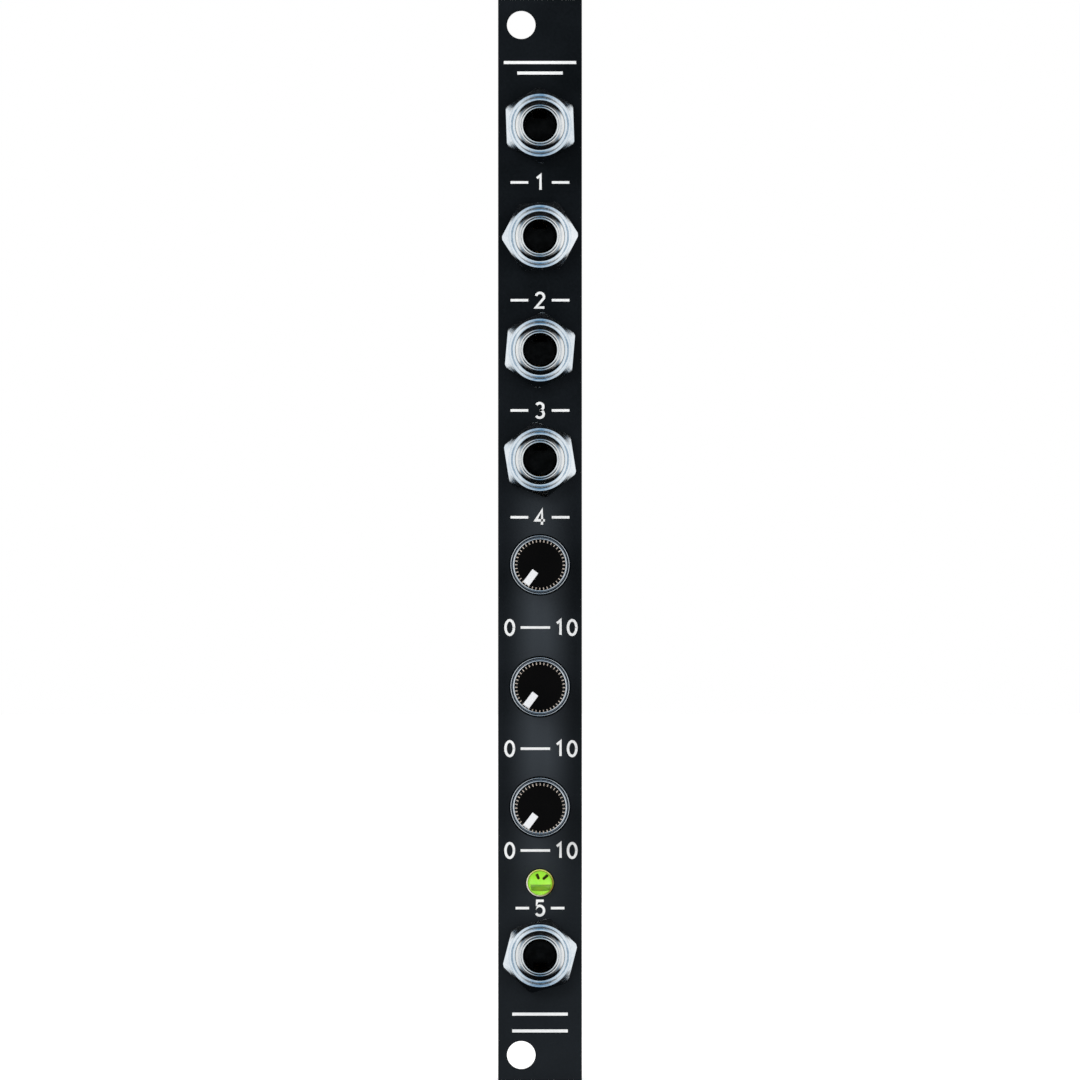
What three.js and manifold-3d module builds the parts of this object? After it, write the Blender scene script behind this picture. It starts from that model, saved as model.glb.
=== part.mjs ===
import * as THREE from "three";
import { mergeVertices } from "three/addons/utils/BufferGeometryUtils.js";
import Module from "manifold-3d";

// A slim rack-synthesizer module: a black panel two rack units wide with five switched jacks, three
// knurled rotary controls and a status lamp, on a control board and an upright main board.
// Millimetres. X runs right seen from the front, Y runs back from the panel's rear face, and Z runs up
// from the lower row of fixing holes.

// Clearances and cuts
const runningGap = 0.3;
const solderGap = 0.1;
const cutOverrun = 1;
const weldDistance = 1e-4;

// Steps round a full turn
const fineSteps = 30;
const coarseSteps = 24;
const hiddenSteps = 18;
const canSteps = 12;
const padSteps = 6;

// Panel
const rackPitch = 5.08;
const panelPitchCount = 2;
const panelPlay = 0.2;
const panelWidth = rackPitch * panelPitchCount - panelPlay;
const panelHeight = 128.5;
const panelThickness = 2;
const panelChamfer = 0.2;
const mountHoleDiameter = 3.4;
const mountHoleFromEnd = 3;
const mountHoleFromEdge = 2.75;
const railReach = 5.25;

// Heights of the controls above the lower fixing holes, as shares of the pitch of the two hole rows
const jackHeightShares = [0.902, 0.7943, 0.6841, 0.578, 0.0971];
const potHeightShares = [0.4759, 0.3576, 0.2408];

// Jack: bushing
const jackBore = 3.6;
const jackMouthFlare = 0.3;
const jackMouthDepth = 0.8;
const jackRimWidth = 0.3;
const jackTipTaper = 0.5;
const jackThreadProud = 0.5;
const jackHoleGap = 0.25;
const jackPlateThickness = 0.4;
const jackPlateWidth = 8.2;
const groundLugGap = 0.15;
const groundLugThickness = 0.25;
const groundLugWidth = 2;
const jackPinWidth = 0.9;

// Jack: nut
const nutSides = 6;
const nutAcrossFlats = 8;
const nutCornerDiameter = 9;
const nutFaceDiameter = 7.35;
const nutThickness = 2;
const nutThreadGap = 0.15;
const nutBoreChamfer = 0.15;
const nutChamferSlope = 0.577;
const nutTurns = [-2, 27.5, 5, -9, 14.5];

// Jack: housing, measured from the bore's axis. The short end holds the contacts.
const jackHousingWidth = 9;
const jackShortEnd = 4.5;
const jackLongEnd = 6;
const jackHousingDepth = 9.6;
const jackHousingChamfer = 0.5;
const jackHousingBoreGap = 0.05;
const jackRoofThickness = 0.6;
const jackEndWall = 0.5;
const chamberWidth = 2.2;

// Jack: contacts. Places are measured from the bore's axis, and heights over the control board are shares
// of the housing's depth.
const contactThickness = 0.25;
const tipSpringWidth = 1.6;
const tipPinGap = 0.495;
const tipBendShare = 0.146;
const tipNoseShare = 0.479;
const tipKneeShare = 0.708;
const tipEndShare = 0.833;
const tipNosePlace = 1.25;
const tipNoseFlat = 0.35;
const tipEndPlace = 2.875;
const switchContactWidth = 1.2;
const switchPinGap = 0.295;
const switchHookPlace = 2.35;
const switchHookShare = 0.781;
const pinTailLength = 1;
const pinRoot = 0.8;

// Rotary control: bushing and bracket
const potThreadDiameter = 7;
const potThreadChamfer = 0.15;
const potThreadWall = 0.65;
const potMouthFlare = 0.1;
const potHoleGap = 0.15;
const potBracketInset = 0.1;
const potBracketHeight = 9.6;
const potBracketThickness = 0.7;
const potBracketCorner = 0.8;
const potLegThickness = 0.5;
const potLegWidth = 2;

// Rotary control: housing, wafer and terminals, measured from the shaft's axis
const potLegGap = 0.2;
const potHousingAbove = 4.6;
const potHousingBelow = 6;
const potHousingDepth = 4.7;
const potHousingRound = 2;
const potHousingChamfer = 0.5;
const housingArcSteps = 4;
const potBoreDepth = 2;
const waferThickness = 1;
const waferAbove = 4.9;
const waferBelow = 6.3;
const potStand = 0.4;
const terminalPitch = 2.5;
const terminalPlace = 7;
const terminalWidth = 0.8;
const terminalThickness = 0.3;
const terminalCount = 3;

// Rotary control: shaft and pointer
const shaftGap = 0.35;
const shaftProud = 6.5;
const shaftEndChamfer = 0.4;
const toothCount = 40;
const crownDiameter = 6;
const toothDepth = 0.24;
const crownFaceDiameter = 5.4;
const crownBevel = 0.35;
const pointerWidth = 0.86;
const pointerStart = 0.97;
const pointerEnd = 2.66;
const pointerThickness = 0.12;
const restPointerTurn = 216.5;

// Lamp
const lampDiameter = 3;
const lampHoleGap = 0.15;
const lampProud = 1.7;
const lampFlangeWidth = 0.4;
const lampFlangeSetback = 0.6;
const lampFlangeThickness = 1;
const lampDomeSteps = 4;
const lampLeadPitch = 2.54;
const lampLeadSize = 0.5;

// Boards
const boardThickness = 1.6;
const boardSideGap = 0.18;
const boardFromRail = 0.85;
const pinHoleDiameter = 1.3;
const leadHoleDiameter = 1;
const mainBoardInset = 0.3;
const mainBoardDepth = 20;
const mainBoardCorner = 3;
const toolingHoleDiameter = 2.2;
const toolingHoleInset = 5;

// Links between the boards
const linkPinPitch = 2.54;
const linkStripSize = 2.5;
const linkSocketDepth = 3.5;
const linkPinSize = 0.64;
const linkSocketFloor = 0.4;
const linkPinStep = 1.2;
const linkHoleSize = 1.1;
const upperLinkPins = 6;
const lowerLinkPins = 5;
const upperLinkShare = 0.79;
const lowerLinkRise = 0.25;

// Power header
const headerPitch = 2.54;
const headerPinsPerRow = 5;
const headerRows = 2;
const headerTailGap = 0.15;
const headerEndMargin = 5.07;
const headerWidth = 8.9;
const headerDepth = 9;
const headerWall = 1.15;
const headerFloor = 2.4;
const headerKeyWidth = 4.5;
const headerKeyDepth = 5.4;
const headerPinSize = 0.64;
const headerPinRise = 5.9;
const headerTail = 3.6;
const headerHeightShare = 0.5;

// Chips on the main board
const chipStandoff = 0.15;
const controllerSize = 7;
const controllerThickness = 1;
const controllerLeadsPerSide = 8;
const controllerPitch = 0.8;
const controllerLeadWidth = 0.37;
const amplifierLength = 4.9;
const amplifierWidth = 3.9;
const amplifierThickness = 1.5;
const amplifierLeadsPerSide = 4;
const amplifierPitch = 1.27;
const amplifierLeadWidth = 0.42;
const regulatorLength = 6.5;
const regulatorWidth = 3.5;
const regulatorThickness = 1.6;
const regulatorLeads = 3;
const regulatorPitch = 2.3;
const regulatorLeadWidth = 0.7;
const regulatorTabWidth = 3;
const leadThickness = 0.18;
const leadReach = 1;
const leadFoot = 0.55;
const leadRoot = 0.2;
const leadHeightShare = 0.5;
const chipChamfer = 0.12;

// Crystal, capacitors and diodes on the main board
const crystalLength = 11.4;
const crystalWidth = 4.6;
const crystalHeight = 3.4;
const crystalFlange = 0.35;
const crystalFlangeThickness = 0.5;
const crystalFoot = 0.5;
const crystalArcSteps = 5;
const canDiameter = 4;
const canLength = 7;
const canCrimpPlace = 1.3;
const canCrimpDepth = 0.2;
const canCrimpWidth = 0.6;
const canEdge = 0.3;
const canLeadPitch = 1.5;
const canLeadSize = 0.45;
const canLeadRun = 1.4;
const diodeLength = 4.3;
const diodeWidth = 2.6;
const diodeHeight = 2.2;
const diodeTaper = 0.2;
const diodeLeadWidth = 1.5;
const diodeLeadThickness = 0.2;
const diodeLeadFoot = 0.9;

// Places on the main board: height as a share of the board's height, depth as a share of its depth
const controllerShares = [0.63, 0.56];
const amplifierShares = [0.3, 0.45];
const regulatorShares = [0.19, 0.6];
const crystalShares = [0.68, 0.5];
const canShares = [
  [0.22, 0.55],
  [0.36, 0.55],
];
const diodeShares = [
  [0.38, 0.82],
  [0.46, 0.45],
];

// Places that follow from the sizes above
const panelFront = -panelThickness;
const panelBottom = -mountHoleFromEnd;
const panelTop = panelBottom + panelHeight;
const holeRowPitch = panelHeight - 2 * mountHoleFromEnd;
const mountHoleX = mountHoleFromEdge - panelWidth / 2;
const jackHeights = jackHeightShares.map((share) => share * holeRowPitch);
const potHeights = potHeightShares.map((share) => share * holeRowPitch);
const lowestJack = jackHeights[jackHeights.length - 1];
const jackMouthDiameter = jackBore + 2 * jackMouthFlare;
const jackRimDiameter = jackMouthDiameter + 2 * jackRimWidth;
const jackThreadDiameter = jackRimDiameter + 2 * jackTipTaper;
const jackHoleDiameter = jackThreadDiameter + 2 * jackHoleGap;
const jackHousingBore = jackBore + 2 * jackHousingBoreGap;
const tipPinPlace = jackShortEnd - jackEndWall - tipPinGap - contactThickness / 2;
const switchPinPlace = jackShortEnd + switchPinGap + contactThickness / 2;
const switchHookHeight = switchHookShare * jackHousingDepth;
const groundLugReach = jackLongEnd + groundLugGap + groundLugThickness;
const groundPinPlace = groundLugReach - groundLugThickness / 2;
const controlBoardWidth = panelWidth - 2 * boardSideGap;
const controlBoardFront = jackPlateThickness + jackHousingDepth;
const controlBoardBack = controlBoardFront + boardThickness;
const controlBoardBottom = railReach + boardFromRail;
const controlBoardTop = holeRowPitch - controlBoardBottom;
const pinTailEnd = controlBoardBack + pinTailLength;
const potBore = potThreadDiameter - 2 * potThreadWall;
const potMouthDiameter = potBore + 2 * potMouthFlare;
const potHoleDiameter = potThreadDiameter + 2 * potHoleGap;
const shaftNeckDiameter = potBore - 2 * shaftGap;
const potWaferBack = controlBoardFront - potStand;
const potWaferFront = potWaferBack - waferThickness;
const potHousingFront = potWaferFront - potHousingDepth;
const potBracketFront = potHousingFront - potBracketThickness;
const potBracketWidth = controlBoardWidth - 2 * potBracketInset;
const potLegOuter = potBracketWidth / 2;
const potLegInner = potLegOuter - potLegThickness;
const potHousingWidth = 2 * (potLegInner - potLegGap);
const lampHoleDiameter = lampDiameter + 2 * lampHoleGap;
const lampFlangeDiameter = lampDiameter + 2 * lampFlangeWidth;
const lampFlangeFront = lampFlangeSetback;
const lampFlangeBack = lampFlangeFront + lampFlangeThickness;
const lampHeight = lowestJack + groundLugReach + runningGap + lampFlangeDiameter / 2;
const mainBoardFront = controlBoardBack + linkSocketDepth + runningGap;
const mainBoardBack = mainBoardFront + mainBoardDepth;
const mainBoardBottom = controlBoardBottom + mainBoardInset;
const mainBoardTop = controlBoardTop - mainBoardInset;
const mainBoardHeight = mainBoardTop - mainBoardBottom;
const mainBoardFace = boardThickness / 2;
const linkX = mainBoardFace + linkStripSize / 2;
const linkPinBack = mainBoardFront + linkStripSize + linkPinStep;
const upperLinkHeight = upperLinkShare * holeRowPitch;
const lowerLinkHeight = mainBoardBottom + lowerLinkRise + (lowerLinkPins * linkPinPitch) / 2;
const linkHoleFront = controlBoardBack + linkSocketFloor;
const headerFront = mainBoardBack + runningGap;
const headerLength = (headerPinsPerRow - 1) * headerPitch + 2 * headerEndMargin;
const headerRowPitch = boardThickness + headerPinSize + 2 * headerTailGap;
const headerHeight = mainBoardBottom + headerHeightShare * mainBoardHeight;

const wasm = await Module();
wasm.setup();

function solidOf(geometry) {
  const bare = new THREE.BufferGeometry();
  const loose = geometry.index ? geometry.toNonIndexed() : geometry;
  bare.setAttribute("position", loose.getAttribute("position"));
  const merged = mergeVertices(bare, weldDistance);
  const vertProperties = merged.attributes.position.array;
  const triVerts = new Uint32Array(merged.index.array);
  return new wasm.Manifold(new wasm.Mesh({ numProp: 3, vertProperties, triVerts }));
}

function geometryOf(solid) {
  const mesh = solid.getMesh();
  const geometry = new THREE.BufferGeometry();
  geometry.setAttribute("position", new THREE.BufferAttribute(mesh.vertProperties, mesh.numProp));
  geometry.setIndex(new THREE.BufferAttribute(mesh.triVerts, 1));
  const faceted = geometry.toNonIndexed();
  faceted.computeVertexNormals();
  return faceted;
}

function joined(...geometries) {
  const solids = geometries.map(solidOf);
  return geometryOf(solids.reduce((whole, solid) => whole.add(solid)));
}

function cut(body, ...tools) {
  const solids = tools.map(solidOf);
  return geometryOf(solids.reduce((left, tool) => left.subtract(tool), solidOf(body)));
}

function common(first, second) {
  return geometryOf(solidOf(first).intersect(solidOf(second)));
}

// A box between two limits on each axis.
function block([left, right], [front, back], [bottom, top]) {
  const box = new THREE.BoxGeometry(right - left, back - front, top - bottom);
  return box.translate((left + right) / 2, (front + back) / 2, (bottom + top) / 2);
}

// A solid of revolution about the Y axis. The profile lists [radius, y] from the back to the front and
// starts and ends on the axis.
function turned(profile, steps) {
  const points = profile.map(([radius, y]) => new THREE.Vector2(radius, y));
  return new THREE.LatheGeometry(points.reverse(), steps);
}

// A round rod along Y, for bores and pins.
function rod(radius, front, back, steps) {
  const profile = [
    [0, back],
    [radius, back],
    [radius, front],
    [0, front],
  ];
  return turned(profile, steps);
}

// An outline of [x, z] points, drawn as seen from the front, extruded along Y.
function prismAlongY(outline, front, back) {
  const shape = new THREE.Shape(outline.map(([x, z]) => new THREE.Vector2(x, z)));
  const prism = new THREE.ExtrudeGeometry(shape, { depth: back - front, bevelEnabled: false });
  return prism.rotateX(Math.PI / 2).translate(0, back, 0);
}

// A rectangle with its corners cut off at 45 degrees.
function chamferedRectangle([left, right], [bottom, top], chamfer) {
  return [
    [left + chamfer, bottom],
    [right - chamfer, bottom],
    [right, bottom + chamfer],
    [right, top - chamfer],
    [right - chamfer, top],
    [left + chamfer, top],
    [left, top - chamfer],
    [left, bottom + chamfer],
  ];
}

const axisX = new THREE.Vector3(1, 0, 0);
const axisY = new THREE.Vector3(0, 1, 0);
const axisZ = new THREE.Vector3(0, 0, 1);

// A bent strip of sheet metal: its middle line runs through the path's points, given along two axes,
// and its width lies square to both.
function bentStrip(path, thickness, width, firstAxis, secondAxis) {
  const points = path.map(([u, v]) => new THREE.Vector2(u, v));
  const last = points.length - 1;
  const headings = points.slice(1).map((point, i) => point.clone().sub(points[i]).normalize());
  const edge = (side) =>
    points.map((point, i) => {
      const before = headings[Math.max(i - 1, 0)];
      const after = headings[Math.min(i, last - 1)];
      const middle = before.clone().add(after).normalize();
      const reach = (side * thickness) / 2 / middle.dot(before);
      return new THREE.Vector2(point.x - middle.y * reach, point.y + middle.x * reach);
    });
  const shape = new THREE.Shape([...edge(1), ...edge(-1).reverse()]);
  const strip = new THREE.ExtrudeGeometry(shape, { depth: width, bevelEnabled: false });
  strip.translate(0, 0, -width / 2);
  const thirdAxis = firstAxis.clone().cross(secondAxis);
  return strip.applyMatrix4(new THREE.Matrix4().makeBasis(firstAxis, secondAxis, thirdAxis));
}

function moved(geometry, x, y, z) {
  return geometry.translate(x, y, z);
}

function span(middle, size) {
  return [middle - size / 2, middle + size / 2];
}

const module = new THREE.Group();

function addPiece(parent, name, geometry, [color, roughness, metalness]) {
  const material = new THREE.MeshStandardMaterial({ color, roughness, metalness });
  const mesh = new THREE.Mesh(geometry, material);
  mesh.name = name;
  parent.add(mesh);
  return mesh;
}

const blackPaint = [0x1a1e22, 0.55, 0.2];
const nickel = [0xc9cdd2, 0.25, 1];
const bareSteel = [0xa9adb2, 0.4, 1];
const springBronze = [0xc9a468, 0.35, 1];
const blackPlastic = [0x141416, 0.5, 0];
const knobBlack = [0x0c0c0d, 0.45, 0];
const pointerWhite = [0xf2f2ee, 0.5, 0];
const phenolic = [0x6b4a2c, 0.7, 0];
const greenLens = [0xb9dc4a, 0.2, 0];
const solderMask = [0x15181a, 0.5, 0];
const chipEpoxy = [0x1b1b1d, 0.6, 0];
const canSleeve = [0x22262c, 0.4, 0.1];

// Panel: its faces are laid out in three zones, so that the strips that bear on the rack rails are
// faces of their own. The front's edges are broken all round.
function holeRim(x, z, diameter, steps) {
  const radius = diameter / 2;
  return Array.from({ length: steps }, (_, i) => {
    const turn = (-i / steps) * 2 * Math.PI;
    return new THREE.Vector2(x + radius * Math.cos(turn), z + radius * Math.sin(turn));
  });
}

function panelHoles() {
  return [
    holeRim(mountHoleX, 0, mountHoleDiameter, coarseSteps),
    holeRim(mountHoleX, holeRowPitch, mountHoleDiameter, coarseSteps),
    ...jackHeights.map((z) => holeRim(0, z, jackHoleDiameter, hiddenSteps)),
    ...potHeights.map((z) => holeRim(0, z, potHoleDiameter, fineSteps)),
    holeRim(0, lampHeight, lampHoleDiameter, coarseSteps),
  ];
}

function panelGeometry() {
  const half = panelWidth / 2;
  const front = {
    y: panelFront,
    side: half - panelChamfer,
    levels: [panelBottom + panelChamfer, railReach, holeRowPitch - railReach, panelTop - panelChamfer],
  };
  const shoulder = {
    y: panelFront + panelChamfer,
    side: half,
    levels: [panelBottom, railReach, holeRowPitch - railReach, panelTop],
  };
  const back = { ...shoulder, y: 0 };
  const corners = [];
  const addFace = (...points) => points.forEach((point) => corners.push(...point));
  const at = (y) => (point) => [point.x, y, point.y];
  const holes = panelHoles();
  const addZone = ({ y, side, levels }, zone) => {
    const [bottom, top] = [levels[zone], levels[zone + 1]];
    const outline = [
      new THREE.Vector2(-side, bottom),
      new THREE.Vector2(side, bottom),
      new THREE.Vector2(side, top),
      new THREE.Vector2(-side, top),
    ];
    const held = holes.filter((rim) => rim[0].y > bottom && rim[0].y < top);
    const points = [outline, ...held].flat().map(at(y));
    THREE.ShapeUtils.triangulateShape(outline, held).forEach(([a, b, c]) => {
      if (y === panelFront) addFace(points[a], points[b], points[c]);
      else addFace(points[c], points[b], points[a]);
    });
  };
  const addWall = (frontRing, backRing) => {
    frontRing.forEach((point, i) => {
      const next = (i + 1) % frontRing.length;
      addFace(point, backRing[i], backRing[next]);
      addFace(point, backRing[next], frontRing[next]);
    });
  };
  const boundary = ({ y, side, levels }) => {
    const right = levels.map((z) => [side, y, z]);
    const left = levels.map((z) => [-side, y, z]);
    return [...right, ...left.reverse()];
  };
  shoulder.levels.slice(1).forEach((_, zone) => {
    addZone(front, zone);
    addZone(back, zone);
  });
  addWall(boundary(front), boundary(shoulder));
  addWall(boundary(shoulder), boundary(back));
  holes.forEach((rim) => addWall(rim.map(at(panelFront)), rim.map(at(0))));
  const geometry = new THREE.BufferGeometry();
  geometry.setAttribute("position", new THREE.Float32BufferAttribute(corners, 3));
  geometry.computeVertexNormals();
  return geometry;
}

// Jack bushing: a threaded tube on a plate whose lug is folded down the housing's long end to the board.
function jackBushingGeometry() {
  const tip = panelFront - nutThickness - jackThreadProud;
  const thread = jackThreadDiameter / 2;
  const rim = jackRimDiameter / 2;
  const tube = turned(
    [
      [0, jackPlateThickness],
      [thread, jackPlateThickness],
      [thread, tip + thread - rim],
      [rim, tip],
      [0, tip],
    ],
    fineSteps,
  );
  const lug = [-groundLugReach, groundLugThickness - groundLugReach];
  const plate = block(span(0, jackPlateWidth), [0, jackPlateThickness], [-jackLongEnd, jackShortEnd]);
  const bridge = block(span(0, groundLugWidth), [0, jackPlateThickness], [-groundLugReach, 0]);
  const leg = block(span(0, groundLugWidth), [0, controlBoardFront - runningGap], lug);
  const pin = block(span(0, jackPinWidth), [0, pinTailEnd], lug);
  const bore = jackBore / 2;
  const mouth = jackMouthDiameter / 2;
  const hole = turned(
    [
      [0, jackPlateThickness + cutOverrun],
      [bore, jackPlateThickness + cutOverrun],
      [bore, tip + jackMouthDepth],
      [mouth, tip],
      [mouth, tip - cutOverrun],
      [0, tip - cutOverrun],
    ],
    fineSteps,
  );
  return cut(joined(tube, plate, bridge, leg, pin), hole);
}

// Jack nut: a hexagon with its corners turned down and both faces chamfered.
function jackNutGeometry() {
  const cornerRadius = nutAcrossFlats / 2 / Math.cos(Math.PI / nutSides);
  const outline = Array.from({ length: nutSides }, (_, i) => {
    const turn = (i / nutSides) * 2 * Math.PI;
    return [-cornerRadius * Math.sin(turn), cornerRadius * Math.cos(turn)];
  });
  const front = panelFront - nutThickness;
  const hexagon = prismAlongY(outline, front, panelFront);
  const corner = nutCornerDiameter / 2;
  const face = nutFaceDiameter / 2;
  const drop = (corner - face) * nutChamferSlope;
  const barrel = turned(
    [
      [0, panelFront],
      [face, panelFront],
      [corner, panelFront - drop],
      [corner, front + drop],
      [face, front],
      [0, front],
    ],
    coarseSteps,
  );
  const bore = jackThreadDiameter / 2 + nutThreadGap;
  const hole = turned(
    [
      [0, panelFront + cutOverrun],
      [bore, panelFront + cutOverrun],
      [bore, front + nutBoreChamfer],
      [bore + nutBoreChamfer, front],
      [bore + nutBoreChamfer, front - cutOverrun],
      [0, front - cutOverrun],
    ],
    coarseSteps,
  );
  return cut(common(hexagon, barrel), hole);
}

// Jack housing: a moulded block with the plug's bore and a contact chamber, open towards the board.
function jackHousingGeometry() {
  const front = jackPlateThickness;
  const back = controlBoardFront;
  const outline = chamferedRectangle(
    span(0, jackHousingWidth),
    [-jackLongEnd, jackShortEnd],
    jackHousingChamfer,
  );
  const body = prismAlongY(outline, front, back);
  const bore = rod(jackHousingBore / 2, front - cutOverrun, back + cutOverrun, hiddenSteps);
  const chamber = block(
    span(0, chamberWidth),
    [front + jackRoofThickness, back + cutOverrun],
    [0, jackShortEnd - jackEndWall],
  );
  const slotHalf = switchContactWidth / 2 + runningGap;
  const slotBack = controlBoardFront - switchHookHeight - runningGap;
  const slot = block(
    [-slotHalf, slotHalf],
    [front - cutOverrun, slotBack],
    [jackHousingBore / 2, jackShortEnd + cutOverrun],
  );
  return cut(body, bore, chamber, slot);
}

// The narrow foot of a contact, from the leaf through the control board.
function contactPin(place) {
  const limits = [controlBoardFront - pinRoot, pinTailEnd];
  return block(span(0, jackPinWidth), limits, span(place, contactThickness));
}

// Tip spring: a leaf that rises from the board, noses into the bore and ends against the switch contact.
function tipSpringGeometry() {
  const depth = (share) => controlBoardFront - share * jackHousingDepth;
  const path = [
    [tipPinPlace, controlBoardFront - runningGap],
    [tipPinPlace, depth(tipBendShare)],
    [tipNosePlace, depth(tipNoseShare) + tipNoseFlat],
    [tipNosePlace, depth(tipNoseShare) - tipNoseFlat],
    [tipEndPlace, depth(tipKneeShare)],
    [tipEndPlace, depth(tipEndShare)],
  ];
  const leaf = bentStrip(path, contactThickness, tipSpringWidth, axisZ, axisY);
  return joined(leaf, contactPin(tipPinPlace));
}

// Switch contact: a fixed strip outside the end wall that hooks over the wall onto the tip spring.
function switchContactGeometry() {
  const crossing = jackPlateThickness + jackRoofThickness + runningGap + contactThickness / 2;
  const path = [
    [switchPinPlace, controlBoardFront - runningGap],
    [switchPinPlace, crossing],
    [switchHookPlace, crossing],
    [switchHookPlace, controlBoardFront - switchHookHeight],
  ];
  const strip = bentStrip(path, contactThickness, switchContactWidth, axisZ, axisY);
  return joined(strip, contactPin(switchPinPlace));
}

// Each jack stands with its contacts up, but the lowest one is turned over to clear the rail.
function addJack(index) {
  const height = jackHeights[index];
  const name = `jack_${index + 1}`;
  const jack = new THREE.Group();
  jack.position.z = height;
  jack.rotation.y = height === lowestJack ? Math.PI : 0;
  module.add(jack);
  addPiece(jack, `${name}_bushing`, jackBushingGeometry(), nickel);
  addPiece(jack, `${name}_housing`, jackHousingGeometry(), blackPlastic);
  addPiece(jack, `${name}_tip_spring`, tipSpringGeometry(), springBronze);
  addPiece(jack, `${name}_switch_contact`, switchContactGeometry(), springBronze);
  const nut = addPiece(module, `${name}_nut`, jackNutGeometry(), nickel);
  nut.position.z = height;
  nut.rotation.y = THREE.MathUtils.degToRad(nutTurns[index]);
}

// Rotary control bushing: a threaded tube level with the panel, on a bracket with two legs to the board.
function potBushingGeometry() {
  const thread = potThreadDiameter / 2;
  const tube = turned(
    [
      [0, potHousingFront],
      [thread, potHousingFront],
      [thread, panelFront + potThreadChamfer],
      [thread - potThreadChamfer, panelFront],
      [0, panelFront],
    ],
    fineSteps,
  );
  const sides = span(0, potBracketWidth);
  const sheet = chamferedRectangle(sides, span(0, potBracketHeight), potBracketCorner);
  const plate = prismAlongY(sheet, potBracketFront, potHousingFront);
  const legs = [
    [-potLegOuter, -potLegInner],
    [potLegInner, potLegOuter],
  ].map((limits) => block(limits, [potBracketFront, pinTailEnd], span(0, potLegWidth)));
  const bore = potBore / 2;
  const mouth = potMouthDiameter / 2;
  const hole = turned(
    [
      [0, potHousingFront + cutOverrun],
      [bore, potHousingFront + cutOverrun],
      [bore, panelFront + mouth - bore],
      [mouth, panelFront],
      [mouth, panelFront - cutOverrun],
      [0, panelFront - cutOverrun],
    ],
    fineSteps,
  );
  return cut(joined(tube, plate, ...legs), hole);
}

// Rotary control housing: a moulded body with a rounded head and a blind bore for the shaft's end.
function potHousingGeometry() {
  const half = potHousingWidth / 2;
  const arcX = half - potHousingRound;
  const arcZ = potHousingAbove - potHousingRound;
  const shape = new THREE.Shape();
  shape.moveTo(-half + potHousingChamfer, -potHousingBelow);
  shape.lineTo(half - potHousingChamfer, -potHousingBelow);
  shape.lineTo(half, -potHousingBelow + potHousingChamfer);
  shape.absarc(arcX, arcZ, potHousingRound, 0, Math.PI / 2);
  shape.absarc(-arcX, arcZ, potHousingRound, Math.PI / 2, Math.PI);
  shape.lineTo(-half, -potHousingBelow + potHousingChamfer);
  const outline = shape.getPoints(housingArcSteps).map((point) => [point.x, point.y]);
  const body = prismAlongY(outline, potHousingFront, potWaferFront);
  const boreBack = potHousingFront + potBoreDepth;
  return cut(body, rod(potBore / 2, potHousingFront - cutOverrun, boreBack, hiddenSteps));
}

// Wafer: the track carrier under the housing, with three terminals bent back through the board.
function potWaferGeometry() {
  const plate = block(
    span(0, potHousingWidth),
    [potWaferFront, potWaferBack],
    [-waferBelow, waferAbove],
  );
  const middle = (potWaferFront + potWaferBack) / 2;
  const path = [
    [waferThickness - waferBelow, middle],
    [-terminalPlace, middle],
    [-terminalPlace, pinTailEnd],
  ];
  const terminals = Array.from({ length: terminalCount }, (_, i) => {
    const strip = bentStrip(path, terminalThickness, terminalWidth, axisZ, axisY);
    return moved(strip, (i - (terminalCount - 1) / 2) * terminalPitch, 0, 0);
  });
  return joined(plate, ...terminals);
}

// Shaft: a smooth neck in the bushing and a crown of fine straight teeth with a bevelled end.
function shaftGeometry() {
  const pointCount = toothCount * 2;
  const faceY = panelFront - shaftProud;
  const crownBack = panelFront - runningGap;
  const ring = (crestRadius, rootRadius, y) =>
    Array.from({ length: pointCount }, (_, i) => {
      const turn = (i / pointCount) * 2 * Math.PI;
      const radius = i % 2 ? rootRadius : crestRadius;
      return [radius * Math.sin(turn), y, radius * Math.cos(turn)];
    });
  const crest = crownDiameter / 2;
  const face = crownFaceDiameter / 2;
  const rings = [
    ring(face, face, faceY),
    ring(crest, crest - toothDepth, faceY + crownBevel),
    ring(crest, crest - toothDepth, crownBack),
  ];
  const corners = [];
  const addFace = (...points) => points.forEach((point) => corners.push(...point));
  for (let i = 0; i < pointCount; i += 1) {
    const next = (i + 1) % pointCount;
    addFace([0, faceY, 0], rings[0][next], rings[0][i]);
    addFace([0, crownBack, 0], rings[2][i], rings[2][next]);
    for (let layer = 0; layer < rings.length - 1; layer += 1) {
      const [front, back] = [rings[layer], rings[layer + 1]];
      addFace(front[i], front[next], back[next]);
      addFace(front[i], back[next], back[i]);
    }
  }
  const crown = new THREE.BufferGeometry();
  crown.setAttribute("position", new THREE.Float32BufferAttribute(corners, 3));
  const neck = shaftNeckDiameter / 2;
  const neckBack = potHousingFront + potBoreDepth - runningGap;
  const stem = turned(
    [
      [0, neckBack],
      [neck - shaftEndChamfer, neckBack],
      [neck, neckBack - shaftEndChamfer],
      [neck, crownBack - runningGap],
      [0, crownBack - runningGap],
    ],
    hiddenSteps,
  );
  return joined(crown, stem);
}

function pointerGeometry() {
  const faceY = panelFront - shaftProud;
  return block(span(0, pointerWidth), [faceY - pointerThickness, faceY], [pointerStart, pointerEnd]);
}

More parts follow.
